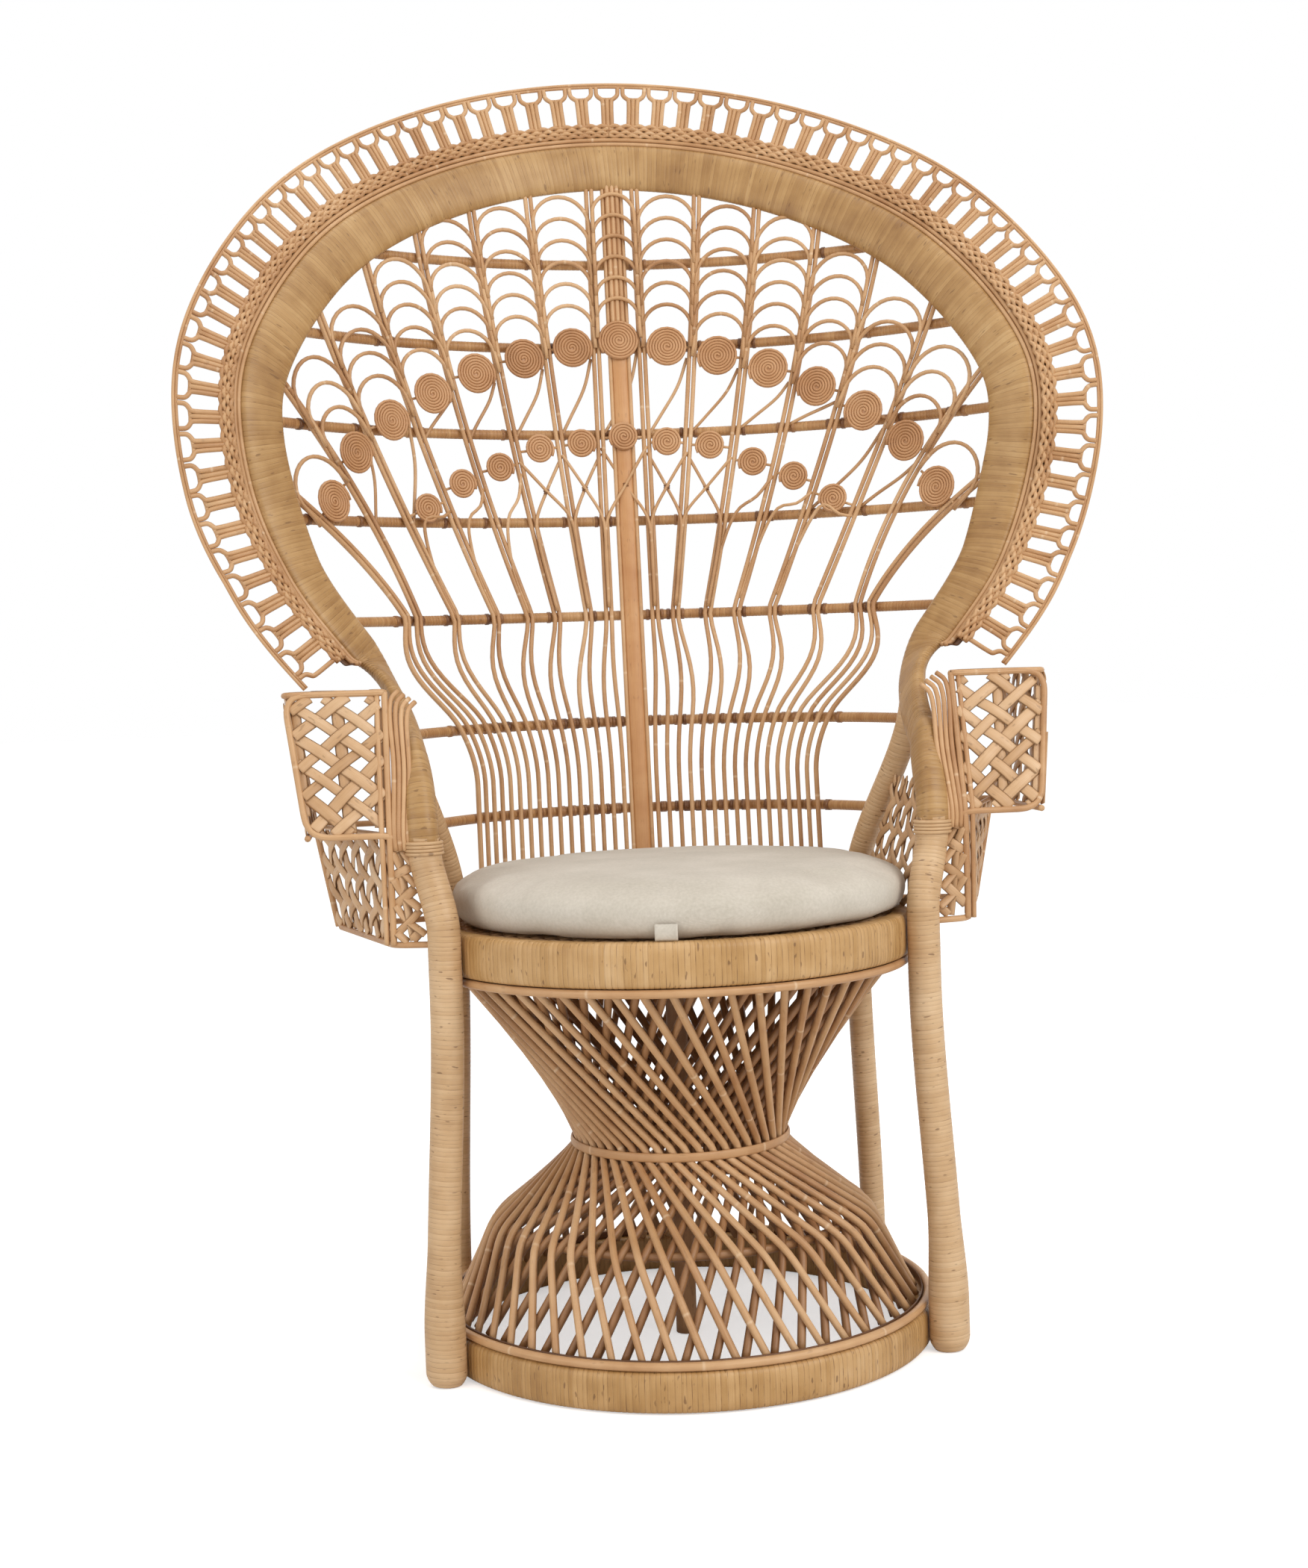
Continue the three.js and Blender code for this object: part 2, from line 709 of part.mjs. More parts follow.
// Rods that run from the base to the seat, turning as they go, bent over a shoulder and
// joined by a ring at the waist
function makeCage() {
  const inset = trimRodInset + 2 * trimRodRadius + clearance + 2 * cageRodRadius;
  const footRadius = baseRadius - inset;
  const headRadius = seatRadius - inset;
  const ringRadius = waistRadius - cageRodRadius;
  const foot = baseHoopHeight + clearance;
  const levels = [
    [footRadius, lowerTwist, foot],
    [shoulderRadius, shoulderTwist, shoulderHeight],
    [ringRadius, 0, waistHeight - waistRingHeight / 2],
    [ringRadius, 0, waistHeight + waistRingHeight / 2],
    [headRadius, -upperTwist, seatHoopFoot - clearance],
  ];
  const ringLevel = levels.length - 3;
  const pitch = 360 / cageRodCount;
  const place = (i, j, side) => {
    const [radius, twist, z] = levels[j];
    const slant = Math.hypot(1, (waistRadius * upperTwist * degree) / (waistHeight - baseHoopHeight));
    const halfWidth = (cageRodRadius * slant) / radius / degree;
    const angle = Math.floor(i / 2) * pitch + (i % 2 ? halfWidth : -halfWidth) + twist;
    return polar(radius + (side ? cageRodRadius : -cageRodRadius), angle, z);
  };
  return openwork(2 * cageRodCount, levels.length - 1, true, (i, j) => i % 2 === 1 && j !== ringLevel, place);
}

function makeCentrePost() {
  const top = seatHeight - deckThickness - clearance;
  return loft([levelRing(vec(0, 0, 0), centrePostRadius), levelRing(vec(0, 0, top), centrePostRadius)]);
}

// Legs

const legBendHeight = seatTrimHeight - 2 * trimRodRadius;

// Distance from the axis at which a leg's flat side touches a hoop
function besideHoop(radius, legRadius) {
  return radius + clearance + legRadius;
}

function legPoint(z, angle, footRadius, headRadius, top) {
  const foot = polar(besideHoop(baseRadius, footRadius), angle, z);
  const head = polar(besideHoop(seatRadius, headRadius), angle, z);
  if (z < seatHeight) return foot.lerp(head, smooth((z - frontFootHeight) / (legBendHeight - frontFootHeight)));
  return head.lerp(vec(top.x, top.y, z), smooth((z - seatHeight) / (top.z - seatHeight)));
}

function frontLegPoint(z) {
  const top = vec(postTopSide, postTopDepth, postTopHeight);
  return legPoint(z, frontLegAngle, frontFootRadius, frontLegRadius, top);
}

function rearLegPoint(z) {
  const top = bandPoint(outlineShareAt(rearLegTopHeight));
  return legPoint(z, rearLegAngle, rearLegRadius, rearLegRadius, top);
}

function frontLegSize(z) {
  return mix(frontFootRadius, frontLegRadius, smooth((z - frontFootHeight) / frontFootTaper));
}

function makeFrontLeg(growth) {
  const top = postTopHeight;
  const taperTop = frontFootHeight + frontFootTaper;
  const heights = [
    0, frontFootHeight, (frontFootHeight + taperTop) / 2, taperTop, (taperTop + legBendHeight) / 2,
    legBendHeight, seatHeight, (seatHeight + top) / 2, top,
  ];
  return loft(heights.map((z) => levelRing(frontLegPoint(z), frontLegSize(z) + growth)));
}

function makeRearLeg(growth) {
  const top = rearLegTopHeight;
  const heights = [
    0, frontFootHeight, (frontFootHeight + legBendHeight) / 2, legBendHeight, seatHeight,
    ...rearLegBendShares.map((share) => mix(seatHeight, top, share)), top,
  ];
  return loft(heights.map((z) => levelRing(rearLegPoint(z), rearLegRadius + growth)));
}

// Wound collar just under the joint of the post and the band
function makePostCollar(growth) {
  const heights = [postTopHeight - postRingHeight, postTopHeight];
  const size = (z) => frontLegSize(z) + postRingThickness + growth;
  return loft(heights.map((z) => levelRing(frontLegPoint(z), size(z))));
}

// Arms

const arm = {
  topInner: vec(armInnerSide, armTopFrontDepth, armTopHeight),
  topOuter: vec(armTopSide, armTopFrontDepth, armTopHeight),
  topRear: vec(armTopSide, armRearDepth, armTopHeight),
  topRearInner: vec(armRearInnerSide, armRearDepth, armTopHeight),
  tierInner: vec(armInnerSide, armTierFrontDepth, armTierHeight),
  tierOuter: vec(armTierSide, armTierFrontDepth, armTierHeight),
  tierRear: vec(armTierSide, armRearDepth, armTierHeight),
  footInner: vec(armInnerSide, armTierFrontDepth, armFootHeight),
  footRear: vec(armFootSide, armRearDepth, armFootHeight),
};

// A direction that no rod of the arm runs in, so that it can turn all their sections
const skew = vec(3, 2, 1).normalize();

function makeArmFrame() {
  const rearEnd = rearLegPoint(armTierHeight);
  const levels = [
    [arm.topRearInner, arm.topInner, arm.topOuter, arm.topRear, arm.topRearInner],
    [frontLegPoint(armTierHeight - armPostDrop), arm.tierInner, arm.tierOuter, arm.tierRear, rearEnd],
    [frontLegPoint(armFootHeight), arm.footInner, arm.footRear, rearLegPoint(armFootHeight)],
  ];
  const uprights = [
    [arm.topInner, arm.tierInner, arm.footInner],
    [arm.topOuter, arm.tierOuter],
    [arm.topRear, arm.tierRear, arm.footRear],
  ];
  const rod = (run, radius) => rodAlong(run, run.map(() => skew), squareRod(radius));
  const rods = [
    ...levels.map((run) => rod(run, armRodRadius)),
    rod([arm.tierInner, arm.tierRear], armDiagonalRadius),
    ...uprights.map((run) => rod(run, armUprightRadius)),
  ];
  return cut(join(rods), [makeFrontLeg(clearance), makePostCollar(clearance), makeRearLeg(clearance), band]);
}

// Panel of crossing diagonal canes between four corners, inside the rods of the frame
function makeCanePanel(corners, across, along, rodRadius) {
  const [a, b, c, d] = corners.map((corner, i) => {
    const next = corners[(i + 1) % 4].clone().sub(corner).normalize();
    const last = corners[(i + 3) % 4].clone().sub(corner).normalize();
    const slant = next.angleTo(last);
    return next.add(last).multiplyScalar((caneInsetShare * rodRadius) / Math.sin(slant)).add(corner);
  });
  const face = vec(0, 0, 0).crossVectors(b.clone().sub(a), d.clone().sub(a)).normalize();
  const shape = new THREE.Shape([[0, 0], [1, 0], [1, 1], [0, 1]].map(([u, v]) => new THREE.Vector2(u, v)));
  for (let i = 1; i < 2 * across; i++) {
    for (let j = 1; j < 2 * along; j++) {
      if ((i + j) % 2) continue;
      const [u, v] = [i / 2 / across, j / 2 / along];
      const [du, dv] = [caneOpeningShare / across, caneOpeningShare / along];
      const ring = [[u - du, v], [u, v - dv], [u + du, v], [u, v + dv]];
      shape.holes.push(new THREE.Path(ring.map(([x, y]) => new THREE.Vector2(x, y))));
    }
  }
  const panel = new THREE.ExtrudeGeometry(shape, { depth: 1, bevelEnabled: false });
  const place = panel.attributes.position;
  for (let i = 0; i < place.count; i++) {
    const [u, v] = [place.getX(i), place.getY(i)];
    const point = a.clone().lerp(b, u).lerp(d.clone().lerp(c, u), v);
    point.addScaledVector(face, caneThickness * (place.getZ(i) - 0.5));
    place.setXYZ(i, point.x, point.y, point.z);
  }
  return closed(panel);
}

const canePanels = {
  arm_front_cane: [[arm.topInner, arm.topOuter, arm.tierOuter, arm.tierInner], 2, 3, armUprightRadius],
  arm_top_cane: [[arm.topInner, arm.topOuter, arm.topRear, arm.topRearInner], 2, 2, armRodRadius],
  arm_side_cane: [[arm.topOuter, arm.topRear, arm.tierRear, arm.tierOuter], 3, 2, armUprightRadius],
  arm_skirt_cane: [[arm.tierInner, arm.tierRear, arm.footRear, arm.footInner], 3, 2, armUprightRadius],
};

// Cushion: a crowned top, a flat underside and sides drawn in above and below

function makeCushion() {
  const foot = seatHeight + clearance;
  const shoulder = foot + cushionThickness - cushionCrown;
  const drawn = cushionRadius - cushionEdgeDraw;
  const sides = cushionSideRiseShares.map((share, i) => [
    cushionRadius - cushionEdgeDraw * cushionSideDrawShares[i], mix(foot, shoulder, share),
  ]);
  const crown = cushionTopSideShares.map((share, i) => [
    cushionRadius * share, shoulder + cushionCrown * cushionTopRiseShares[i],
  ]);
  const underside = [[0, foot], [drawn - cushionEdgeDraw, foot]];
  const profile = [...underside, ...sides, ...crown, [0, foot + cushionThickness]];
  const points = profile.map(([r, z]) => new THREE.Vector2(r, z));
  const cushion = new THREE.LatheGeometry(points, cushionSegments).rotateX(Math.PI / 2);
  return closed(cushion.translate(cushionShift, 0, 0));
}

function makeTab() {
  const tab = new THREE.BoxGeometry(tabThickness, tabWidth, tabHeight);
  const out = cushionRadius + clearance + tabThickness / 2;
  tab.translate(out, 0, seatHeight + clearance + tabHeight / 2).rotateZ(tabAngle * degree);
  return closed(tab.translate(cushionShift, 0, 0));
}

const chair = new THREE.Group();
const paleCane = 0xc99f66;
const warmCane = 0xbe8a55;
const darkCane = 0x6b4526;
const cottonCream = 0xd6d0c4;

function add(name, geometry, color) {
  const material = new THREE.MeshStandardMaterial({ color, roughness: 0.6, metalness: 0 });
  const mesh = new THREE.Mesh(geometry, material);
  mesh.name = name;
  chair.add(mesh);
}

function addPair(name, geometry, color) {
  add(`${name}_right`, geometry, color);
  add(`${name}_left`, mirrored(geometry), color);
}

add('base_hoop', turned(hoopSection(baseRadius, 0, baseHoopHeight)), paleCane);
add('base_trim_rod', makeTrim(baseRadius, baseTrimHeight), warmCane);
add('cage', makeCage(), warmCane);
add('centre_post', makeCentrePost(), darkCane);
add('seat_trim_rod', makeTrim(seatRadius, seatTrimHeight), warmCane);
add('seat_hoop', turned(hoopSection(seatRadius, seatHoopFoot, seatHoopHeight)), paleCane);
add('seat_deck', makeDeck(), paleCane);
addPair('front_leg', cut(makeFrontLeg(0), [band]), paleCane);
addPair('post_collar', cut(makePostCollar(0), [band, makeFrontLeg(clearance)]), paleCane);
addPair('rear_leg', cut(makeRearLeg(0), [band]), paleCane);
add('back_band', makeBand(0), paleCane);
add('edge_rod_inner', makeEdgeRod(0), warmCane);
add('edge_rod_outer', makeEdgeRod(1), warmCane);
addPair('border_links', makeBorder(), warmCane);
add('border_rim', makeRim(), warmCane);
add('spine', makeSpine(), warmCane);
ribHeights.forEach((z, i) => add(`rib_${i + 1}`, makeRib(z), paleCane));
add('fan_column_centre', makeColumn(-1, centreUpperDiscShare, centreLowerDiscShare, centreArchCount), warmCane);
upperDiscRiseShares.forEach((share, k) => {
  addPair(`fan_column_${k + 1}`, makeColumn(k, share, lowerDiscRiseShares[k], archCounts[k]), warmCane);
});
addPair('fan_side_rod', cut(makeSpoke(pairCount - 1, 1, 0), [band]), warmCane);
addPair('arm_frame', makeArmFrame(), warmCane);
for (const [name, shape] of Object.entries(canePanels)) {
  addPair(name, makeCanePanel(...shape), paleCane);
}
add('cushion', makeCushion(), cottonCream);
add('cushion_tab', makeTab(), cottonCream);

const bounds = new THREE.Box3().setFromObject(chair);
chair.position.y = -(bounds.min.y + bounds.max.y) / 2;

export default chair;
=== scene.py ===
import math

import bpy
import numpy as np
from mathutils import Matrix, Vector


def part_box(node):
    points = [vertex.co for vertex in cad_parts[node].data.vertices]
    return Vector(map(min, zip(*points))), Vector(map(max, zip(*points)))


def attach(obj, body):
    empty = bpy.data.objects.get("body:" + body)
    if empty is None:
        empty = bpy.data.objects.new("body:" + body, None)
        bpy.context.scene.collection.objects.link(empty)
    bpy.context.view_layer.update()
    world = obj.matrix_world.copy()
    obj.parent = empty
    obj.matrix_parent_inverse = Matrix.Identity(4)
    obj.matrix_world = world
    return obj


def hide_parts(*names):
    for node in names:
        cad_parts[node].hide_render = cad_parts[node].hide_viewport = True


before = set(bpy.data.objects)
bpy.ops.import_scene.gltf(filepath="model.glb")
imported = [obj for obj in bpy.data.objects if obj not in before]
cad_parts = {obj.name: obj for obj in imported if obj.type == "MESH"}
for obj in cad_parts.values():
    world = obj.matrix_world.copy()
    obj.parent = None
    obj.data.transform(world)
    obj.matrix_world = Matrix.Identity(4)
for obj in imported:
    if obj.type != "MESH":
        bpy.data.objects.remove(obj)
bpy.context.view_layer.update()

# Peacock chair in wrapped rattan. Shapes are set out in millimetres about the axis of the base
# hoop, and moved to the row frame in metres when a piece is made.

hoop_low, hoop_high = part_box("base_hoop")
MM = 0.001
AXIS_Y = (hoop_low[1] + hoop_high[1]) / 2 / MM
FRONT, UP = np.array([0.0, -1, 0]), np.array([0.0, 0, 1])
SIDES = (("right", 1), ("left", -1))
rng = np.random.default_rng(7)

# Base and seat

BASE_R, BASE_H = 270, 42
SEAT_R, SEAT_Z, SEAT_H = 258, 463, 46
HOOP_T, TRIM_R, TRIM_SINK, FIT = 24, 4.5, 1, 0.3
WAIST_R, WAIST_Z, SHOULDER_R, SHOULDER_Z = 117, 221, 207, 135

# Back: the shell, the band's outline and section, and the edge rods

SHELL_R, SHELL_START, SHELL_FULL, LEAN = 510, 600, 960, 0.137
BAND_TOP, BAND_HALF, BAND_W, BAND_T = 1355, 425, 56, 16
BAND_FOOT, BAND_FLARE, BAND_SWEEP = 33, 0.3, 760
BAND_RISE = BAND_TOP - SEAT_Z
SIDE_SHARES = [0, 0.43, 0.777, 0.977, 1, 0.911, 0.682, 0.64]
RISE_SHARES = [1, 0.963, 0.86, 0.703, 0.602, 0.44, 0.272, 0.198]
POST_TOP = (268, -97, 560)
EDGE_END, BORDER_END, BORDER_START = 745, 768, 48.45

# Fan: ribs, spokes, discs and arches, as shares of the band's rise and half width

RIB_SHARES = [0.8655, 0.748, 0.627, 0.506, 0.3756, 0.23, 0.112]
RIB_R, SPOKE_R, SPOKE_DROP, SPINE_W = 6, 3, 30, 28
FOOT_SHARES = [0.067, 0.125, 0.2165, 0.2965, 0.393, 0.508, 0.614, 0.645]
TOP_SHARES = [0.067, 0.247, 0.414, 0.574, 0.722, 0.833, 0.941, 0.944]
TOP_RISE_SHARES = [0.963, 0.95, 0.926, 0.893, 0.848, 0.748, 0.669, 0.538]
BOW_SHARES = [0, 0.09, 0.09, 0.1, 0.07, 0.035, -0.08, -0.08]
PAIRS = len(FOOT_SHARES)
FAN_ANGLE = math.radians(50)
DISC_SHARES = [0.7545, 0.744, 0.728, 0.706, 0.676, 0.637, 0.591, 0.525]
SMALL_SHARES = [0.62, 0.611, 0.604, 0.578, 0.555, 0.521]
ARCH_PITCH, ARCH_R, ARCH_LEG, DISC_R, SMALL_R = 26.5, 2.5, 25, 26.5, 19.5
SPOKE_SHELL = SEAT_R + FIT + SPOKE_R
SPOKE_FOOT = SEAT_Z - SPOKE_DROP


def at_rise(share):
    return SEAT_Z + share * BAND_RISE


RIBS = [at_rise(share) for share in RIB_SHARES]
GATHER, SPREAD = RIBS[4], RIBS[5]


def smooth(x):
    x = np.clip(x, 0, 1)
    return x * x * (3 - 2 * x)


def mix(a, b, t):
    return a + (b - a) * t


def unit(v):
    return v / np.maximum(np.linalg.norm(v, axis=-1, keepdims=True), 1e-9)


def stack(x, y, z):
    return np.stack(np.broadcast_arrays(*(np.asarray(c, float) for c in (x, y, z))), axis=-1)


def ray(angle):
    return np.array([math.cos(angle), math.sin(angle)])


def travel(path):
    return np.concatenate([[0], np.cumsum(np.linalg.norm(np.diff(path, axis=0), axis=1))])


def at_side(points, sign):
    """Points of the right half, moved to the side of that sign."""
    return np.asarray(points) * np.array([sign, 1.0, 1])


# Shell of the back

def shell_radius(z):
    return mix(SPOKE_SHELL, SHELL_R, smooth((z - SHELL_START) / (SHELL_FULL - SHELL_START)))


def shell_point(x, z):
    radius = shell_radius(z)
    depth = SPOKE_SHELL + LEAN * np.maximum(0, z - SPOKE_FOOT)
    return stack(x, depth - radius + np.sqrt(np.maximum(0, radius ** 2 - x ** 2)), z)


def shell_facing(x, z):
    side = np.sign(x) * np.minimum(0.98, np.abs(x) / shell_radius(z))
    return unit(stack(-side, -np.sqrt(1 - side ** 2), LEAN))


def fan_facing(x, z):
    rise = shell_point(x, z + 1) - shell_point(x, z - 1)
    return unit(np.cross(np.cross(UP, shell_facing(x, z)), rise))


# Outline of the back: a centripetal curve, measured along its length

def centripetal(knots, steps):
    knots = np.array(knots, float)
    knots = np.vstack([2 * knots[0] - knots[1], knots, 2 * knots[-1] - knots[-2]])
    points = []
    for p0, p1, p2, p3 in zip(knots, knots[1:], knots[2:], knots[3:]):
        d0, d1, d2 = (math.sqrt(math.dist(a, b)) for a, b in ((p0, p1), (p1, p2), (p2, p3)))
        m1 = ((p1 - p0) / d0 - (p2 - p0) / (d0 + d1) + (p2 - p1) / d1) * d1
        m2 = ((p2 - p1) / d1 - (p3 - p1) / (d1 + d2) + (p3 - p2) / d2) * d1
        t = np.linspace(0, 1, steps, endpoint=False)[:, None]
        bend = (-3 * p1 + 3 * p2 - 2 * m1 - m2) * t ** 2
        points.append(p1 + m1 * t + bend + (2 * p1 - 2 * p2 + m1 + m2) * t ** 3)
    return np.vstack([*points, knots[-2:-1]])


half_outline = [(s * BAND_HALF, at_rise(r)) for s, r in zip(SIDE_SHARES, RISE_SHARES)]
half_outline.append((POST_TOP[0], POST_TOP[2]))
OUTLINE = centripetal([(-x, z) for x, z in half_outline[:0:-1]] + half_outline, 120)
LENGTHS = travel(OUTLINE)


def to_outline(point):
    return np.hypot(OUTLINE[:, 0] - point[0], OUTLINE[:, 1] - point[2]).min()


def outline_at(t):
    s = np.clip(t, 0, 1) * LENGTHS[-1]
    return np.interp(s, LENGTHS, OUTLINE[:, 0]), np.interp(s, LENGTHS, OUTLINE[:, 1])


def outline_share(z):
    shares = np.linspace(0.5, 1, 4000)
    return float(np.interp(-z, -outline_at(shares)[1], shares))


def band_point(t):
    x, z = outline_at(t)
    sweep = smooth((BAND_SWEEP - z) / (BAND_SWEEP - POST_TOP[2]))
    return stack(x, mix(shell_point(x, z)[..., 1], POST_TOP[1], sweep), z)


def band_facing(t):
    x, z = outline_at(t)
    flare = BAND_FLARE * smooth((z - BAND_SWEEP) / (SHELL_FULL - BAND_SWEEP))[..., None]
    return unit(mix(shell_facing(x, z), FRONT, flare))


def band_outward(t, step=0.004):
    return unit(np.cross(band_facing(t), band_point(t + step) - band_point(t - step)))


def band_size(z):
    spread = smooth((z - POST_TOP[2]) / (BAND_SWEEP - POST_TOP[2]))
    return mix(BAND_FOOT, BAND_W, spread), mix(BAND_FOOT, BAND_T, spread)


def border_point(t, distance, step=0.002):
    """Point of the border, that far out from its foot."""
    (x0, z0), (x1, z1) = outline_at(t - step), outline_at(t + step)
    band_out = band_outward(t)
    outward = unit(unit(stack(z0 - z1, 0, x1 - x0)) + band_out)
    distance = np.asarray(distance)[..., None]
    return band_point(t) + band_out * BORDER_START + outward * distance


BORDER_SHARE = outline_share(BORDER_END)


# Places in the fan

def pair_side(k, z):
    foot, top = FOOT_SHARES[k] * BAND_HALF, TOP_SHARES[k] * BAND_HALF
    t = (z - GATHER) / (at_rise(TOP_RISE_SHARES[k]) - GATHER)
    return mix(foot, top, t) + 4 * BOW_SHARES[k] * t * (1 - t) * (top - foot)


def spoke_point(k, member, z):
    z = np.asarray(z, float)
    upper = np.maximum(z, GATHER)
    gathered = smooth((z - SPREAD) / (GATHER - SPREAD))
    first = math.asin((SPINE_W / 2 + FIT + 2 * SPOKE_R) / SPOKE_SHELL)
    angle = mix(first, FAN_ANGLE, (2 * k + member) / (2 * PAIRS - 1))
    x = mix(shell_radius(z) * math.sin(angle), pair_side(k, upper), gathered)
    over, under = (shell_point(pair_side(k, upper + d), upper + d) for d in (1, -1))
    across = unit(np.cross(unit(over - under), fan_facing(x, upper)))
    offset = (1 if member else -1) * gathered * (SPOKE_R + FIT)
    return shell_point(x, z) + across * (offset * np.sign(across[..., 0]))[..., None]


def spoke_top(k):
    z = GATHER
    while z < BAND_TOP and to_outline((pair_side(k, z), 0, z)) > 0.2 * BAND_W:
        z += 1
    return z


TOPS = [spoke_top(k) for k in range(PAIRS)]


def spoke_path(k, member):
    return spoke_point(k, member, np.linspace(SPOKE_FOOT, TOPS[k], 64))


def column_frame(k, z):
    """Middle, directions and half width of the gap outside pair k; -1 is the middle column."""
    def sides_at(height):
        inner = at_side(spoke_point(0, 0, height), -1) if k < 0 else spoke_point(k, 1, height)
        return inner, spoke_point(k + 1, 0, height)
    (inner, outer), (inner_over, outer_over) = sides_at(z), sides_at(z + 2)
    along = unit(unit(inner_over - inner) + unit(outer_over - outer))
    chord = outer - inner
    across = chord - along * (chord * along).sum()
    reach = np.linalg.norm(across) / 2
    across = unit(across)
    return (inner + outer) / 2, along, across, unit(np.cross(across, along)), reach


def in_column(at, x, y, lift):
    middle, along, across, facing, _ = at
    return middle + across * x + along * y + facing * lift


def add_object(name, data):
    obj = bpy.data.objects.new(name, data)
    bpy.context.scene.collection.objects.link(obj)
    return obj


# Mesh of one piece, gathered from swept surfaces. Each point keeps where it lies on its
# strand: millimetres along and across the fibres, the strand's number, and its edge (0 to 1).

class Piece:
    def __init__(self, name):
        self.name = name
        self.points, self.grain, self.edge, self.faces, self.slots = [], [], [], [], []
        self.count = 0

    def grid(self, points, grain=(0, 0, 0), edge=0.5, loop=False, material=0):
        """Surface over rings of points; loop joins the last ring to the first."""
        shape = points.shape[:2]
        number = np.arange(shape[0] * shape[1]).reshape(shape) + self.count
        here, after = (number, np.roll(number, -1, 0)) if loop else (number[:-1], number[1:])
        faces = np.stack([here, after, np.roll(after, -1, 1), np.roll(here, -1, 1)], -1)
        faces = faces.reshape(-1, 4).tolist()
        if not loop:
            faces += [number[0].tolist(), number[-1][::-1].tolist()]
        self.points.append(points.reshape(-1, 3))
        self.grain.append(np.stack([np.broadcast_to(g, shape) for g in grain], -1).reshape(-1, 3))
        self.edge.append(np.broadcast_to(edge, shape).reshape(-1))
        self.faces += faces
        self.slots += [material] * len(faces)
        self.count += number.size

    def finish(self, materials, node, slot_name="warm_cane"):
        mesh = bpy.data.meshes.new(self.name)
        points = np.vstack(self.points) + np.array([0, AXIS_Y, 0])
        mesh.from_pydata((points * MM).tolist(), [], self.faces)
        grain = mesh.attributes.new("grain", "FLOAT_VECTOR", "POINT")
        grain.data.foreach_set("vector", np.vstack(self.grain).astype(np.float32).ravel())
        edge = mesh.attributes.new("edge", "FLOAT", "POINT")
        edge.data.foreach_set("value", np.concatenate(self.edge).astype(np.float32))
        for material in materials:
            mesh.materials.append(material)
        mesh.polygons.foreach_set("material_index", self.slots)
        mesh.polygons.foreach_set("use_smooth", [True] * len(self.faces))
        mesh.validate()
        obj = add_object(self.name, mesh)
        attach(obj, "root")
        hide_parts(node)
        return obj


def frames_along(path, facing=None, loop=False):
    """Tangent, normal (towards facing) and side of every point of a path."""
    if loop:
        tangent = unit(np.roll(path, -1, 0) - np.roll(path, 1, 0))
    else:
        tangent = unit(np.gradient(path, axis=0))
    if facing is None:
        normal = np.zeros_like(path)
        last = np.cross(tangent[0], UP)
        if np.linalg.norm(last) < 0.1:
            last = np.cross(tangent[0], -FRONT)
        for i, direction in enumerate(tangent):
            last = unit(last - direction * last.dot(direction))
            normal[i] = last
    else:
        facing = np.broadcast_to(facing, path.shape)
        normal = unit(facing - tangent * (facing * tangent).sum(-1, keepdims=True))
    return tangent, normal, np.cross(tangent, normal)


def swept(path, ring, facing=None, loop=False):
    """Ring, or one for each point, carried along a path; and the tangents of the path."""
    tangent, normal, side = frames_along(path, facing, loop)
    return path[:, None] + side[:, None] * ring[..., :1] + normal[:, None] * ring[..., 1:], tangent


def rod(piece, path, radius, sides=8, facing=None, loop=False, material=0, flat=1.0):
    """Plain rod: fibres run along it. flat squeezes it towards its facing side."""
    path = np.asarray(path)
    angle = np.arange(sides) / sides * 2 * math.pi
    radius = np.broadcast_to(radius, len(path))[:, None, None]
    ring = np.stack([np.sin(angle), np.cos(angle) * flat], -1) * radius
    grain = ((travel(path) + rng.uniform(0, 900))[:, None],
             np.abs(angle - math.pi) * float(np.mean(radius)), rng.uniform(0, 50))
    piece.grid(swept(path, ring, facing, loop)[0], grain, loop=loop, material=material)


def interpolate(at, s, values):
    return np.stack([np.interp(at, s, values[:, i]) for i in range(3)], -1)


def resample(path, spacing):
    s = travel(path)
    count = max(2, int(round(s[-1] / spacing)) + 1)
    return interpolate(np.linspace(0, s[-1], count), s, path)


def rounded(corners, radius):
    """Path through corners, each turned on an arc of that radius."""
    corners = [np.array(c, float) for c in corners]
    path = [corners[0]]
    for before, here, after in zip(corners, corners[1:], corners[2:]):
        cut = min(radius, 0.45 * math.dist(before, here), 0.45 * math.dist(after, here))
        start, end = here + unit(before - here) * cut, here + unit(after - here) * cut
        for t in np.linspace(0, 1, 6):
            path.append((1 - t) ** 2 * start + 2 * t * (1 - t) * here + t ** 2 * end)
    path.append(corners[-1])
    return np.array(path)


# Windings: places across a turn, how far each is sunk, how much the turns' widths vary, and
# how far the fibres are shifted from turn to turn

WRAP_PLACES = np.array([0.0, 0.1, 0.5, 0.9])
WRAP_SINK = np.array([1.0, 0.25, 0.0, 0.25])
WRAP_SPREAD, TURN_STEP = 0.25, 37.0


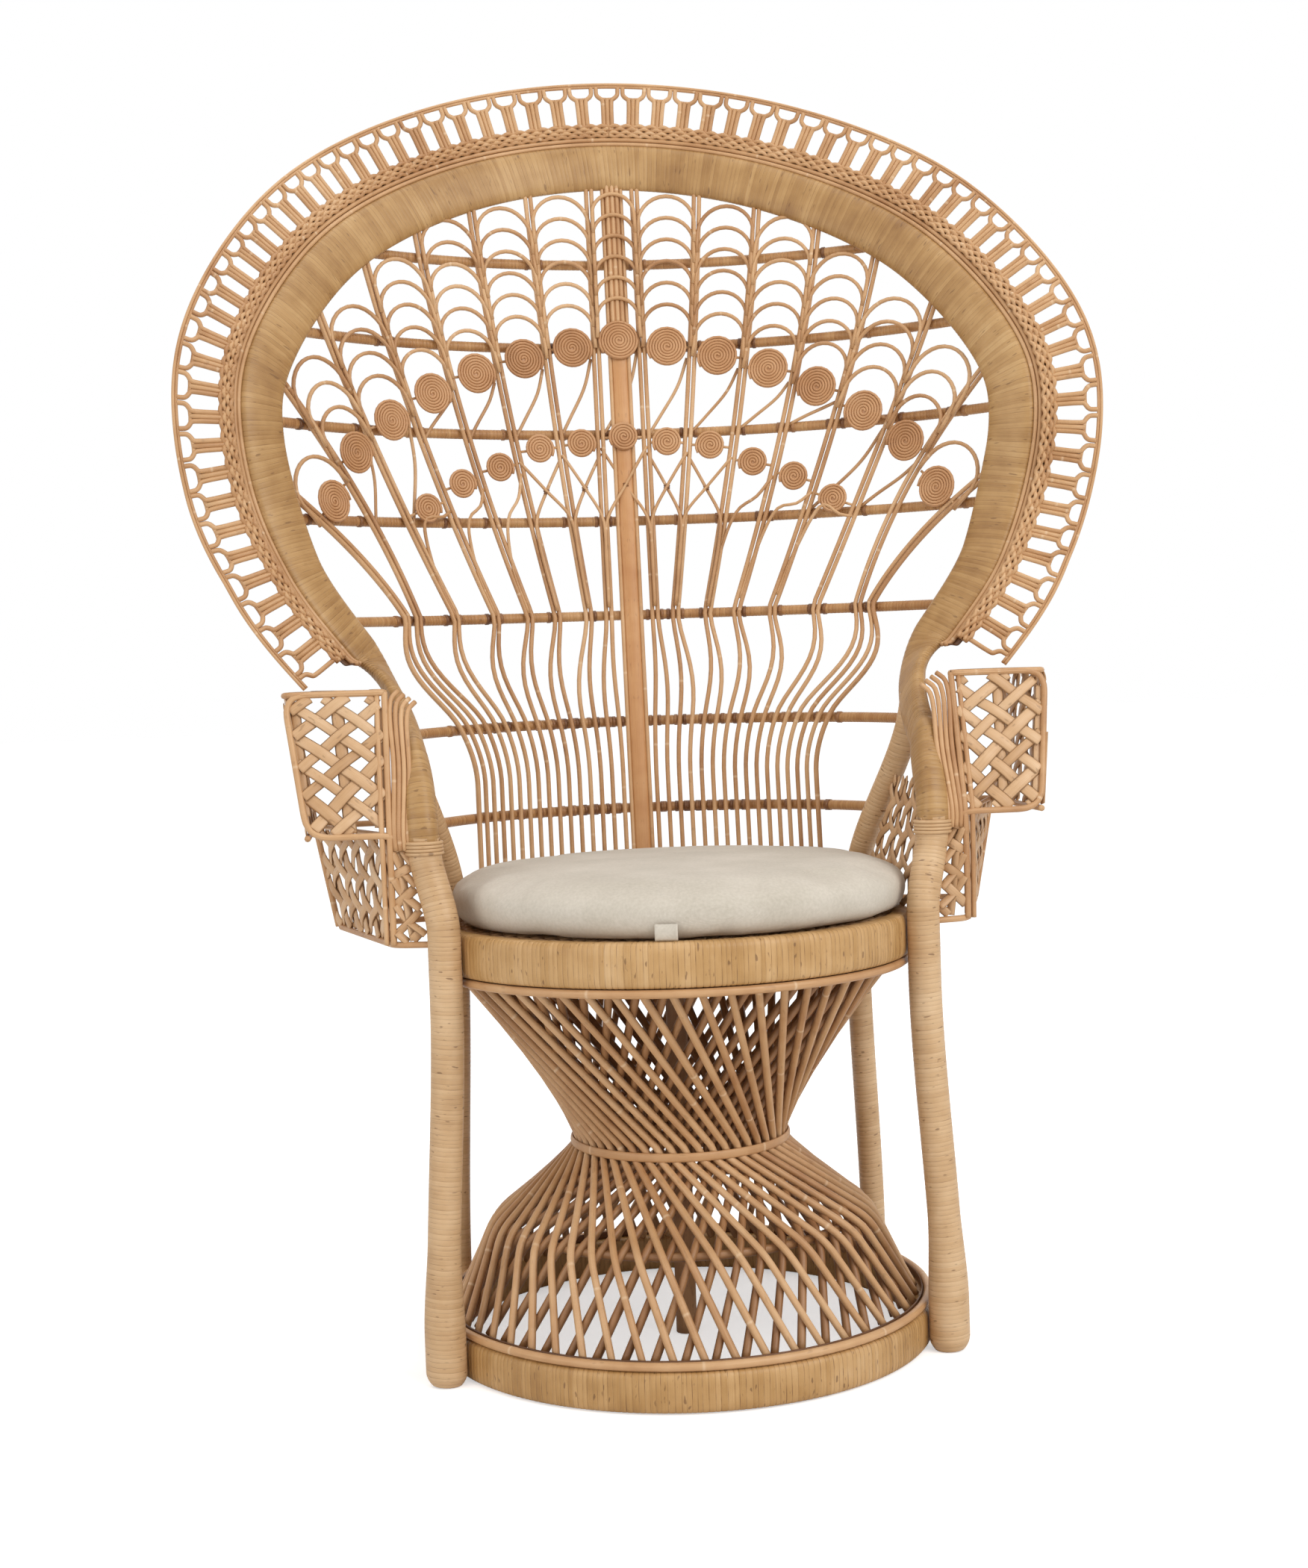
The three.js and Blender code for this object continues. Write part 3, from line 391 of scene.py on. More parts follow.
def wound(piece, path, section, pitch, depth, facing, loop=False, tilt=0.0):
    """Bar wrapped in flat cane: the fibres run round it. section(s) gives the rings, (n, m, 2),
    at distances s; depth is the groove between the turns and tilt how far a turn leans."""
    facing = np.broadcast_to(facing, path.shape)
    if loop:
        path, facing = np.vstack([path, path[:1]]), np.vstack([facing, facing[:1]])
    s = travel(path)
    count = max(3, int(s[-1] / pitch))
    widths = pitch * rng.uniform(1 - WRAP_SPREAD, 1 + WRAP_SPREAD, count)
    starts = np.concatenate([[0], np.cumsum(widths)])
    starts *= s[-1] / starts[-1]
    stops = mix(starts[:-1, None], starts[1:, None], WRAP_PLACES).ravel()
    sinks, across = np.tile(WRAP_SINK, count), np.tile(WRAP_PLACES, count)
    turns = np.repeat(np.arange(count), len(WRAP_PLACES))
    if not loop:
        stops, sinks = np.append(stops, s[-1]), np.append(sinks, 0)
        across, turns = np.append(across, 1.0), np.append(turns, turns[-1])
    centre = interpolate(stops, s, path)
    facing = unit(interpolate(stops, s, facing))
    rings = section(stops)
    length = np.linalg.norm(rings, axis=-1, keepdims=True)
    uneven = rng.uniform(0.6, 1.0, count)[turns] * depth
    rings = rings * (1 - (sinks * uneven)[:, None, None] / np.maximum(length, 1))
    points, tangent = swept(centre, rings, facing, loop)
    lean = rings[..., :1] / np.maximum(np.abs(rings[..., 0]).max(), 1) * tilt
    turns = turns[:, None]
    grain = (travel(rings[0]) + turns * TURN_STEP, stops[:, None], turns)
    piece.grid(points + tangent[:, None] * lean, grain, across[:, None], loop)


def oval(width, height, sides, power=2.0):
    """Ring of a flattened bar, as a function of distance."""
    angle = (np.arange(sides) + 0.5) / sides * 2 * math.pi
    c, s = np.cos(angle), np.sin(angle)
    ring = np.stack([np.sign(v) * np.abs(v) ** (2 / power) for v in (c, s)], -1)

    def section(stops):
        sizes = [np.broadcast_to(size(stops) if callable(size) else size, len(stops)) / 2
                 for size in (width, height)]
        return ring[None] * np.stack(sizes, -1)[:, None]
    return section


# Materials

class Nodes:
    """Short names for the nodes of one material or world."""
    def __init__(self, owner):
        owner.use_nodes = True
        self.owner, self.tree = owner, owner.node_tree

    def add(self, kind, *values, **settings):
        node = self.tree.nodes.new(kind)
        for key, value in settings.items():
            setattr(node, key, value)
        for socket, value in zip(node.inputs, values):
            self.put(socket, value)
        return node

    def put(self, socket, value):
        if isinstance(value, bpy.types.NodeSocket):
            self.tree.links.new(value, socket)
        elif value is not None:
            socket.default_value = value

    def fill(self, node, values):
        for name, value in values.items():
            self.put(node.inputs[name], value)
        return node

    def math(self, operation, a, b=None):
        return self.add("ShaderNodeMath", a, b, operation=operation).outputs[0]

    def times(self, a, b):
        return self.math("MULTIPLY", a, b)

    def apart(self, a, b):
        return self.math("ABSOLUTE", self.math("SUBTRACT", a, b))

    def weighed(self, *terms):
        """Sum of (value, weight) pairs."""
        total = 0.0
        for value, weight in terms:
            total = self.math("ADD", self.times(value, weight), total)
        return total

    def spread(self, *values):
        """Smooth step of a value between two others, to a lower and an upper level."""
        return self.add("ShaderNodeMapRange", *values, interpolation_type="SMOOTHSTEP").outputs[0]

    def noise(self, vector, scale, detail=2.0, rough=0.5):
        sizes = {"Scale": scale, "Detail": detail, "Roughness": rough}
        return self.fill(self.add("ShaderNodeTexNoise", vector), sizes).outputs["Fac"]

    def vector(self, x, y, z):
        return self.add("ShaderNodeCombineXYZ", x, y, z).outputs[0]

    def blend(self, factor, a, b):
        node = self.add("ShaderNodeMix", factor, data_type="RGBA")
        self.put(node.inputs[6], a)
        self.put(node.inputs[7], b)
        return node.outputs[2]

    def ramp(self, factor, stops):
        node = self.add("ShaderNodeValToRGB", factor)
        elements = node.color_ramp.elements
        elements.remove(elements[1])
        for i, (place, color) in enumerate(stops):
            element = elements[0] if i == 0 else elements.new(place)
            element.position, element.color = place, srgb(*color)
        return node.outputs[0]

    def bump(self, height, strength, distance, normal=None):
        values = {"Strength": strength, "Distance": distance, "Height": height, "Normal": normal}
        return self.fill(self.add("ShaderNodeBump"), values).outputs[0]

    def rays(self, *kinds):
        """1 where the ray is of one of these kinds, else 0."""
        path = self.add("ShaderNodeLightPath")
        seen = path.outputs[kinds[0]]
        for kind in kinds[1:]:
            seen = self.math("MAXIMUM", seen, path.outputs[kind])
        return seen


def srgb(r, g, b):
    return (*(((c / 255 + 0.055) / 1.055) ** 2.4 for c in (r, g, b)), 1)


TONE_STOPS = (0.18, 0.42, 0.62, 0.85)
TONE_SHIFT, FIBRE_SHARE, PATCH_SHARE, CLOUD_SHARE = -0.20, 0.42, 0.62, 0.34
FIBRE_PITCH, SPECK_PITCH, BREAK_PITCH = (0.018, 1.6), (0.09, 0.22), 0.045
KNOT_SPACING, KNOT_WIDTH = 210.0, 0.012
DARK_CANE, PALE_KNOT = srgb(92, 58, 32), srgb(232, 205, 170)

# Canes: four tones from dark to light, then the strength of the dark seams between turns and of
# the specks, how much the strands vary, and the strength of the pale knots

CANES = {
    "wrapped_cane": ((148, 106, 58), (178, 136, 82), (196, 155, 103), (212, 176, 130), 0.9, 0.6,
                     0.22),
    "band_cane": ((138, 98, 54), (166, 126, 76), (185, 146, 95), (202, 167, 119), 0.7, 0.5, 0.2),
    "leg_cane": ((176, 138, 96), (199, 162, 119), (212, 178, 137), (224, 195, 158), 0.7, 0.6,
                 0.16),
    "rib_cane": ((146, 98, 54), (172, 124, 76), (189, 144, 94), (204, 162, 114), 0.6, 0.35, 0.2),
    # Next: darker tones as painted shade, for the inner cage rods, shoulder ring, centre post and
    # border backing strip
    "painted_shade_rod": ((120, 80, 48), (146, 102, 64), (164, 120, 80), (178, 136, 96), 0.0, 0.25, 0.34),
    "rattan_rod": ((166, 118, 76), (190, 145, 100), (204, 162, 117), (216, 178, 136), 0.0, 0.18,
                   0.34, 0.5),
    "flat_cane_strap": ((172, 130, 88), (196, 155, 112), (209, 171, 130), (222, 190, 152), 0.55,
                        0.3, 0.34),
    "split_bamboo": ((160, 102, 56), (186, 130, 80), (200, 148, 97), (210, 164, 117), 0.5, 0.2,
                     0.34),
    # Next: very dark tones as painted shade, for the flat strips behind the trim rods and the edge
    # rods
    "painted_shade_strip": ((78, 50, 30), (98, 64, 38), (118, 78, 46), (138, 92, 56), 0.6, 0.2, 0.34),
    "tie_cane": ((98, 62, 36), (124, 82, 48), (152, 106, 66), (176, 130, 86), 0.5, 0.3, 0.5),
    "coiled_cane": ((150, 104, 66), (184, 134, 90), (199, 152, 108), (212, 170, 128), 0.0, 0.15,
                    0.22),
}


def surface(name):
    """Nodes of a new material, and its surface shader."""
    n = Nodes(bpy.data.materials.new(name))
    return n, n.tree.nodes["Principled BSDF"]


def cane_material(name, tones, seam, specks, varied, knots=0.0):
    n, bsdf = surface(name)
    grain, edge = (n.add("ShaderNodeAttribute", attribute_name=a) for a in ("grain", "edge"))
    along, across, strand = n.add("ShaderNodeSeparateXYZ", grain.outputs["Vector"]).outputs
    chance = n.fill(n.add("ShaderNodeTexWhiteNoise", noise_dimensions="1D"), {"W": strand})
    chance = chance.outputs["Value"]

    def stretched(pitch):
        return n.vector(n.times(along, pitch[0]), n.times(across, pitch[1]), strand)
    fibre = n.noise(stretched(FIBRE_PITCH), 1.0, 3.0, 0.6)
    place = n.add("ShaderNodeTexCoord").outputs["Object"]
    tone = n.weighed((chance, varied), (fibre, FIBRE_SHARE), (n.noise(place, 9.0), PATCH_SHARE),
                     (n.noise(place, 45.0), CLOUD_SHARE))
    color = n.ramp(n.math("ADD", tone, TONE_SHIFT - varied / 2), zip(TONE_STOPS, tones))
    speck = n.spread(n.noise(stretched(SPECK_PITCH), 1.0, 1.0), 0.66, 0.74)
    color = n.blend(n.times(speck, specks), color, DARK_CANE)
    broken_at = n.vector(n.times(along, BREAK_PITCH), strand, 0.0)
    broken = n.spread(n.noise(broken_at, 1.0), 0.42, 0.66, 0.25, 1.0)
    gap = n.times(n.spread(n.apart(edge.outputs["Fac"], 0.5), 0.38, 0.5), broken)
    color = n.blend(n.times(gap, seam), color, DARK_CANE)
    if knots:
        turn = n.math("ADD", n.math("DIVIDE", along, KNOT_SPACING), chance)
        at_knot = n.spread(n.apart(n.math("FRACT", turn), 0.5), 0.0, KNOT_WIDTH, 1.0, 0.0)
        color = n.blend(n.times(at_knot, knots), color, PALE_KNOT)
    n.fill(bsdf, {"Base Color": color, "Roughness": n.math("ADD", n.times(fibre, 0.2), 0.32),
                  "Specular IOR Level": 0.42, "Normal": n.bump(fibre, 0.35, 0.0004)})
    return n.owner


def cotton_material(name):
    n, bsdf = surface(name)
    place = n.add("ShaderNodeTexCoord").outputs["Object"]
    waves = []
    for axis in ("X", "Y"):
        wave = n.add("ShaderNodeTexWave", place, bands_direction=axis)
        n.fill(wave, {"Scale": 420.0, "Distortion": 1.2, "Detail": 1.0})
        waves.append(wave.outputs["Fac"])
    weave = n.times(*waves)
    cloud = n.noise(place, 14.0, 3.0)
    tone = n.weighed((cloud, 0.6), (n.noise(place, 320.0), 0.4))
    color = n.ramp(tone, [(0.3, (188, 179, 163)), (0.5, (201, 192, 177)), (0.7, (213, 204, 190))])
    color = n.blend(n.times(weave, 0.12), color, srgb(178, 168, 152))
    normal = n.bump(weave, 0.35, 0.0005, n.bump(cloud, 0.25, 0.004))
    n.fill(bsdf, {"Base Color": color, "Roughness": 0.9, "Sheen Weight": 0.15,
                  "Specular IOR Level": 0.25, "Normal": normal})
    return n.owner


(wrap, band_wrap, leg_wrap, rib_wrap, shaded, rods, straps, spine_cane, shade_strip, tie_cane,
 disc_cane) = (cane_material(name, values[:4], *values[4:]) for name, values in CANES.items())
cotton = cotton_material("plain_cotton")


# Base, seat and cage

HOOP_TURN, HOOP_GROOVE = 5.6, 0.55


def circle(radius, z, count=180):
    angle = np.arange(count) / count * 2 * math.pi
    return stack(radius * np.cos(angle), radius * np.sin(angle), z)


def outward_of(path):
    return unit(path * np.array([1.0, 1, 0]))


def make_hoop(name, radius, foot, height, node):
    piece = Piece(name)
    path = circle(radius - HOOP_T / 2, foot + height / 2)
    section = oval(height, HOOP_T, 20, 4.5)
    wound(piece, path, section, HOOP_TURN, HOOP_GROOVE, outward_of(path), loop=True)
    piece.finish([wrap], node, "pale_cane")


def make_trim(name, radius, z, node):
    piece = Piece(name)
    rod(piece, circle(radius - TRIM_SINK - TRIM_R, z, 160), TRIM_R, 10, loop=True)
    piece.finish([rods], node)


CAGE_RODS, CAGE_R, INNER_R, INNER_INSET, INNER_TURN = 50, 4.2, 4.5, 9, 4.0
CAGE_INSET = TRIM_SINK + 2 * TRIM_R + FIT + 2 * CAGE_R
CAGE_TURNS = (37, 27, 0, 0, -41)
CAGE_BEND, WAIST_HALF = 16, 5
SHADE_STRIP_R, SHADE_STRIP_INSET, SHADE_STRIP_GAP = 4.8, 11.5, 4.5
SHOULDER_RING, SHOULDER_RING_R = SHOULDER_R - 18, 5
WAIST_RING, WAIST_RING_Z, WAIST_RING_R = WAIST_R + 1.4, WAIST_Z - 1, 4.8
STEM_R, STEM_FOOT, STEM_HEAD = 11.5, 0.5, 454


def cage_path(start, turn, inset):
    """Rod from the base hoop, bent over a shoulder, through the waist to the seat."""
    waist_r = WAIST_R - CAGE_R - inset
    radii = (BASE_R - CAGE_INSET - inset, SHOULDER_R - inset, waist_r, waist_r,
             SEAT_R - CAGE_INSET - inset)
    heights = (BASE_H + FIT, SHOULDER_Z, WAIST_Z - WAIST_HALF, WAIST_Z + WAIST_HALF,
               SEAT_Z - SEAT_H - FIT)
    corners = []
    for radius, twist, z in zip(radii, CAGE_TURNS, heights):
        corners.append((*radius * ray(math.radians(start + turn * twist)), z))
    return resample(rounded(corners, CAGE_BEND), 9.0)


def make_cage():
    """Two layers of rods that lean opposite ways and the rings that hold them. The inner layer and
    the shoulder ring are painted darker as shade, and a dark strip of painted shade lies behind
    each trim rod."""
    piece = Piece("cage_rods")
    for i in range(CAGE_RODS):
        start = i * 360 / CAGE_RODS
        rod(piece, cage_path(start, 1, 0), CAGE_R * rng.uniform(0.93, 1.0))
        # The inner layer takes the darker tones of painted shade.
        path = cage_path(start + INNER_TURN, -1, INNER_INSET)
        rod(piece, path, INNER_R * rng.uniform(0.94, 1.04), 7, material=1)
    # Hidden ring at the shoulder, in the darker tones of painted shade.
    path = circle(SHOULDER_RING, SHOULDER_Z, 120)
    rod(piece, path, SHOULDER_RING_R, loop=True, material=1)
    path = circle(WAIST_RING, WAIST_RING_Z)
    rod(piece, path, WAIST_RING_R, 12, outward_of(path), loop=True, flat=0.4)
    # Dark flat strips of painted shade behind the base and seat trim rods, in the gaps by the
    # hoops.
    for radius, z in ((BASE_R, BASE_H + SHADE_STRIP_GAP), (SEAT_R, SEAT_Z - SEAT_H - SHADE_STRIP_GAP)):
        path = circle(radius - SHADE_STRIP_INSET, z, 120)
        rod(piece, path, SHADE_STRIP_R, 8, outward_of(path), loop=True, material=2, flat=0.14)
    piece.finish([rods, shaded, shade_strip], "cage")


def make_post():
    piece = Piece("post_in_cage")
    # The post takes the darker tones of painted shade, for the shade inside the cage.
    rod(piece, stack(0, 0, np.linspace(STEM_FOOT, STEM_HEAD, 30)), STEM_R, 14)
    piece.finish([shaded], "centre_post", "dark_cane")


# Legs

FRONT_FOOT_R, FRONT_FOOT_H, FRONT_TAPER, FRONT_R, REAR_R = 21.5, 50, 100, 17.3, 14
FRONT_ANGLE, REAR_ANGLE, REAR_TOP = math.radians(-24.5), math.radians(31), 700
LEG_BEND = SEAT_Z - SEAT_H - FIT - 3 * TRIM_R
LEG_TURN, LEG_GROOVE, LEG_TILT, FLOOR_GAP = 4.8, 0.3, 1.2, 0.5
COLLAR_TURNS, COLLAR_R, COLLAR_PITCH, COLLAR_DROP = 4, 1.9, 3.6, 12
REAR_TOP_POINT = band_point(np.array([outline_share(REAR_TOP)]))[0]


def leg_path(z, angle, foot_r, head_r, top):
    foot, head = (BASE_R + FIT + foot_r) * ray(angle), (SEAT_R + FIT + head_r) * ray(angle)
    rise = smooth((z - FRONT_FOOT_H) / (LEG_BEND - FRONT_FOOT_H))[:, None]
    lean = smooth((z - SEAT_Z) / (top[2] - SEAT_Z))[:, None]
    flat = mix(mix(foot, head, rise), np.array(top[:2]), lean)
    return stack(flat[:, 0], flat[:, 1], z)


def front_leg(*heights):
    return leg_path(np.array(heights, float), FRONT_ANGLE, FRONT_FOOT_R, FRONT_R, POST_TOP)


def rear_leg(*heights):
    return leg_path(np.array(heights, float), REAR_ANGLE, REAR_R, REAR_R, REAR_TOP_POINT)


def wrapped_leg(name, path, size, sides, sign, node):
    """Leg of that size, as a function of height, wound with narrow turns."""
    piece = Piece(name)
    path = at_side(path, sign)
    s = travel(path)

    def width(stops):
        return size(np.interp(stops, s, path[:, 2]))
    wound(piece, path, oval(width, width, sides), LEG_TURN, LEG_GROOVE, FRONT,
          tilt=LEG_TILT * sign)
    piece.finish([leg_wrap], node, "pale_cane")


def front_size(z):
    size = mix(FRONT_FOOT_R, FRONT_R, smooth((z - FRONT_FOOT_H) / FRONT_TAPER))
    return 2 * size * (1 - 0.28 * np.clip(1 - z / 14, 0, 1) ** 2)


def make_legs():
    front = front_leg(*np.linspace(FLOOR_GAP, POST_TOP[2] + 4, 150))
    rear = rear_leg(*np.linspace(FLOOR_GAP, REAR_TOP - 6, 150))
    for side, sign in SIDES:
        wrapped_leg(f"front_leg_{side}_wrapped", front, front_size, 20, sign, f"front_leg_{side}")
        wrapped_leg(f"rear_leg_{side}_wrapped", rear, lambda z: 2 * REAR_R + 0 * z, 16, sign,
                    f"rear_leg_{side}")
        piece = Piece(f"post_collar_{side}_wound")
        for i in range(COLLAR_TURNS):
            centre = front_leg(POST_TOP[2] - COLLAR_DROP + i * COLLAR_PITCH)[0]
            rod(piece, circle(FRONT_R + 1.4, 0, 40) + at_side(centre, sign), COLLAR_R, loop=True)
        piece.finish([leg_wrap], f"post_collar_{side}", "pale_cane")


# Band and edge rods

BAND_TURN, BAND_GROOVE, BAND_TILT = 5.2, 0.32, 1.5
EDGE_ROD_R, EDGE_FIRST, EDGE_PITCH = 2.7, 2.4, 5.6
SHADE_STRIP_OUT, SHADE_STRIP_BACK, SHADE_STRIP_HALF = 7, 3.6, 11


def make_band():
    piece = Piece("back_band_wrapped")
    t = np.linspace(0, 1, 900)
    path = band_point(t)
    s = travel(path)
    across, through = ((lambda stops, size=size: np.interp(stops, s, size))
                       for size in band_size(path[:, 2]))
    section = oval(across, through, 24, 2.5)
    wound(piece, path, section, BAND_TURN, BAND_GROOVE, band_facing(t), tilt=BAND_TILT)
    piece.finish([band_wrap], "back_band", "pale_cane")


def make_edge_rods():
    """Two rods beside the band, with a dark strip of painted shade behind them."""
    end = outline_share(EDGE_END)
    t = np.linspace(1 - end, end, 420)
    path, facing, outward = band_point(t), band_facing(t), band_outward(t)
    for order, name in enumerate(("inner", "outer")):
        piece = Piece(f"edge_rod_{name}_round")
        offset = BAND_W / 2 + EDGE_FIRST + order * EDGE_PITCH
        rod(piece, path + outward * offset, EDGE_ROD_R, facing=facing)
        if order == 0:
            # Flat dark strip as painted shade, in the gaps behind the edge rods.
            back = path + outward * (BAND_W / 2 + SHADE_STRIP_OUT) - facing * SHADE_STRIP_BACK
            rod(piece, back, SHADE_STRIP_HALF, facing=facing, flat=0.1, material=1)
        piece.finish([rods, shade_strip], f"edge_rod_{name}")


# Border: bars of three rods, the outer two of which part below the rim to meet their
# neighbours, on a foot of rods woven in front and behind. Distances run out from the foot.

LINKS, RAIL, RIM, BAR_FOOT, BAR_HEAD = 70, 45.0, 53.0, -9.0, 39.5
BAR_SIDES, BAR_ENDS, BAR_HEIGHTS = [5.3, 5.3, 5.3, 6.0, 8.4, 11.0], [3.2, 2.8, 2.8], [
    BAR_FOOT, 8.0, 33.0, 37.5, BAR_HEAD, RAIL - 3.4, RAIL - 0.6, RAIL + 3, RIM]
BAR_R, CORE_R, COLLAR_HALF, BAR_COLLAR_R = 2.8, 3.1, 9.4, 2.2
ROWS, ROW_WAVE, ROW_R, BACK_ROW_R = (-7.6, -3.6, 0.4, 4.4), 0.7, 2.5, 2.2
RIM_RODS, RIM_ROD_R = (0.4, 3.7), 1.8


def make_border():
    fine = np.linspace(1 - BORDER_SHARE, BORDER_SHARE, 1500)
    lengths = travel(border_point(fine, 28.0))
    total = lengths[-1]
    pitch = total / LINKS
    half = pitch / 2

    def place(s, d):
        return border_point(np.interp(s, lengths, fine), d)
    pieces = {side: Piece(f"border_{side}_loops") for side, _ in SIDES}
    curve = np.array([BAR_SIDES + [half - end for end in BAR_ENDS], BAR_HEIGHTS, [0.0] * 9]).T
    curve = centripetal(curve, 3)
    core = np.array([BAR_FOOT, 8.0, 24.0, BAR_HEAD])
    around = np.linspace(-COLLAR_HALF, COLLAR_HALF, 5)
    for i in range(LINKS + 1):
        piece = pieces["left" if i <= LINKS / 2 else "right"]
        bar = i * pitch + rng.uniform(-0.6, 0.6)
        lean = rng.uniform(-0.8, 0.8)
        for sign in (-1, 1):
            if 0 < bar + sign * half < total:
                s = bar + sign * curve[:, 0] + lean * curve[:, 1] / RIM
                rod(piece, place(s, curve[:, 1]), BAR_R, 7, FRONT)
        if 0 < bar < total:
            rod(piece, place(bar + lean * core / RIM, core) - FRONT * 0.8, CORE_R, 7, FRONT)
            collar = place(bar + lean * 0.8 + around, 38.6 + 0.013 * around ** 2)
            rod(piece, collar - FRONT * 1.4, BAR_COLLAR_R, 7, FRONT)
    count = LINKS * 12
    s = np.linspace(0, total, count + 1)
    halves = {"right": slice(count // 2, None), "left": slice(None, count // 2 + 1)}
    for row, d in enumerate(ROWS):
        wave = np.cos(4 * math.pi * s / pitch + row * math.pi + rng.uniform(-0.5, 0.5))
        path = place(s, d + ROW_WAVE * wave)
        before = path + FRONT * (wave * 1.7 + 1.4)[:, None]
        behind = path - FRONT * (wave * 1.2 + 4.8)[:, None]
        for side, part in halves.items():
            rod(pieces[side], before[part], ROW_R, 6, FRONT)
            rod(pieces[side], behind[part], BACK_ROW_R, 6, FRONT)
    # Flat strip behind the woven rows, in the darker tones of painted shade, so the gaps read as
    # shade.
    path = place(s, -1.4) - FRONT * 2.6
    for side, part in halves.items():
        rod(pieces[side], path[part], 8.0, 6, FRONT, material=1, flat=0.08)
    for side, _ in SIDES:
        pieces[side].finish([rods, shaded], f"border_links_{side}")
    rim = Piece("border_rim_rods")
    for d in RIM_RODS:
        rod(rim, place(lengths[::3], RIM + d), RIM_ROD_R, facing=FRONT)
    rim.finish([rods], "border_rim")


# Spine and ribs

SPINE_HALF, SPINE_FLAT, SIDE_ROD_X, SIDE_ROD_R = 9.6, 0.3, 11.6, 2.5
TOP_RODS, TOP_ROD_R, NODES = (-5.9, 0.4, 6.3), 2.7, (RIBS[3] - 12, RIBS[1] + 30)
RIB_TURN, RIB_GROOVE, RIB_DEPTH = 4.6, 0.35, SPOKE_R + 0.6 + RIB_R
TIE_OUT, TIE_SKIPPED, TIE_INNER, TIE_END = 2.2, 0.35, 16, 6
TIE_PLACES, TIE_SWELL = np.array([-2.1, -1.8, 1.8, 2.1]), np.array([0.1, 0.8, 0.8, 0.1])


def make_spine():
    piece = Piece("spine_strip")
    z = np.linspace(SPOKE_FOOT, BAND_TOP - 14, 90)
    facing = shell_facing(0, z)
    path = shell_point(0, z) + [0, 0.75, 0]
    joint = sum(np.exp(-((z - height) / 3.5) ** 2) for height in NODES)
    rod(piece, path, SPINE_HALF + 0.8 * joint, 14, facing, flat=SPINE_FLAT)
    for x in (-SIDE_ROD_X, SIDE_ROD_X):
        rod(piece, path + [x, 0, 0], SIDE_ROD_R, 8, facing, material=1)
    upper = z > at_rise(DISC_SHARES[0])
    for x in TOP_RODS:
        line = (path + facing * 2.6)[upper] + [x, 0, 0]
        rod(piece, line, TOP_ROD_R, 8, facing[upper], material=1)
    piece.finish([spine_cane, rods], "spine")


def behind_fan(x, z):
    """Points of a rib, and the way they face."""
    facing = fan_facing(x, z)
    return shell_point(x, z) - facing * RIB_DEPTH, facing


def rib_path(i, z):
    end = rear_leg(z)[0, 0] if i >= 5 else outline_at(outline_share(z))[0]
    return behind_fan(np.linspace(-end + 4, end - 4, 160), z)


def bundle_places(z):
    """Sides of the rods or bundles that cross a rib: (x, half width)."""
    places = []
    for k in range(PAIRS):
        if TOPS[k] < z + 8:
            continue
        inner, outer = (float(spoke_point(k, member, z)[0]) for member in (0, 1))
        if outer - inner < 12:
            places.append(((inner + outer) / 2, (outer - inner) / 2 + SPOKE_R))
        else:
            places += [(inner, SPOKE_R), (outer, SPOKE_R)]
    return places


def make_rib(i, z):
    """Rib behind the fan, with a tie beside most of the bundles that cross it."""
    piece = Piece(f"rib_{i + 1}_wrapped")
    path, facing = rib_path(i, z)
    wound(piece, path, oval(2 * RIB_R, 2 * RIB_R - 1, 12), RIB_TURN, RIB_GROOVE, facing)
    for x, half_width in bundle_places(z):
        for side in (-1, 1):
            middle = x + side * (half_width + TIE_OUT)
            for sign in (-1, 1):
                if rng.random() < TIE_SKIPPED or not TIE_INNER < middle < path[-1][0] - TIE_END:
                    continue
                here, facing = behind_fan(sign * (middle + TIE_PLACES), z)
                rod(piece, here, RIB_R + TIE_SWELL, 10, facing, material=1)
    piece.finish([rib_wrap, tie_cane], f"rib_{i + 1}", "pale_cane")


# Fan

EYE_R, COIL_R, BACKING_RINGS = 3.4, 1.75, ((3.2, -1.6), (2.6, -1.0), (3.2, -0.3))
DRAWN_R, DISC_BAR_R, SLANT_R = SPOKE_R - 0.3, 1.7, 2.1
KNOT_R, KNOT_HALF, KNOT_REACH, KNOT_DEPTH = 1.1, 1.3, 3.1, 2.7
DISC_LIFT, SLANT_LIFT, CROSS_LIFT = SPOKE_R + 2.2, SPOKE_R + 2.0, 1.9
MAX_ARCHES, ARCH_CLEAR = 9, BAND_W / 2 - 6


def coil(piece, at, radius):
    """Disc coiled from one thin rod round a small eye, on a plain backing."""
    turns = (radius - EYE_R) / (2 * COIL_R)
    angle = np.linspace(0, turns * 2 * math.pi, int(turns * 20))
    r = EYE_R + COIL_R * 2 * turns * angle / angle[-1] - COIL_R
    middle, along, across, facing, _ = at

    def ring(r, angle, lift):
        return (middle + across * (r * np.cos(angle))[:, None]
                + along * (r * np.sin(angle))[:, None] + facing * lift)
    rod(piece, ring(r, angle, DISC_LIFT), COIL_R, 6, facing, material=2)
    angle = np.linspace(0, 2 * math.pi, 30, endpoint=False)
    rings = np.array([ring(radius - inset, angle, DISC_LIFT + d) for inset, d in BACKING_RINGS])
    piece.grid(rings, material=2)


def disc(piece, at, radius):
    """Coiled disc on a thin bar between the rods at its sides."""
    reach = at[4] + 1
    bar = [in_column(at, x, 0, 0) for x in np.linspace(-reach, reach, 5)]
    rod(piece, bar, DISC_BAR_R, 6, at[3])
    coil(piece, at, radius)


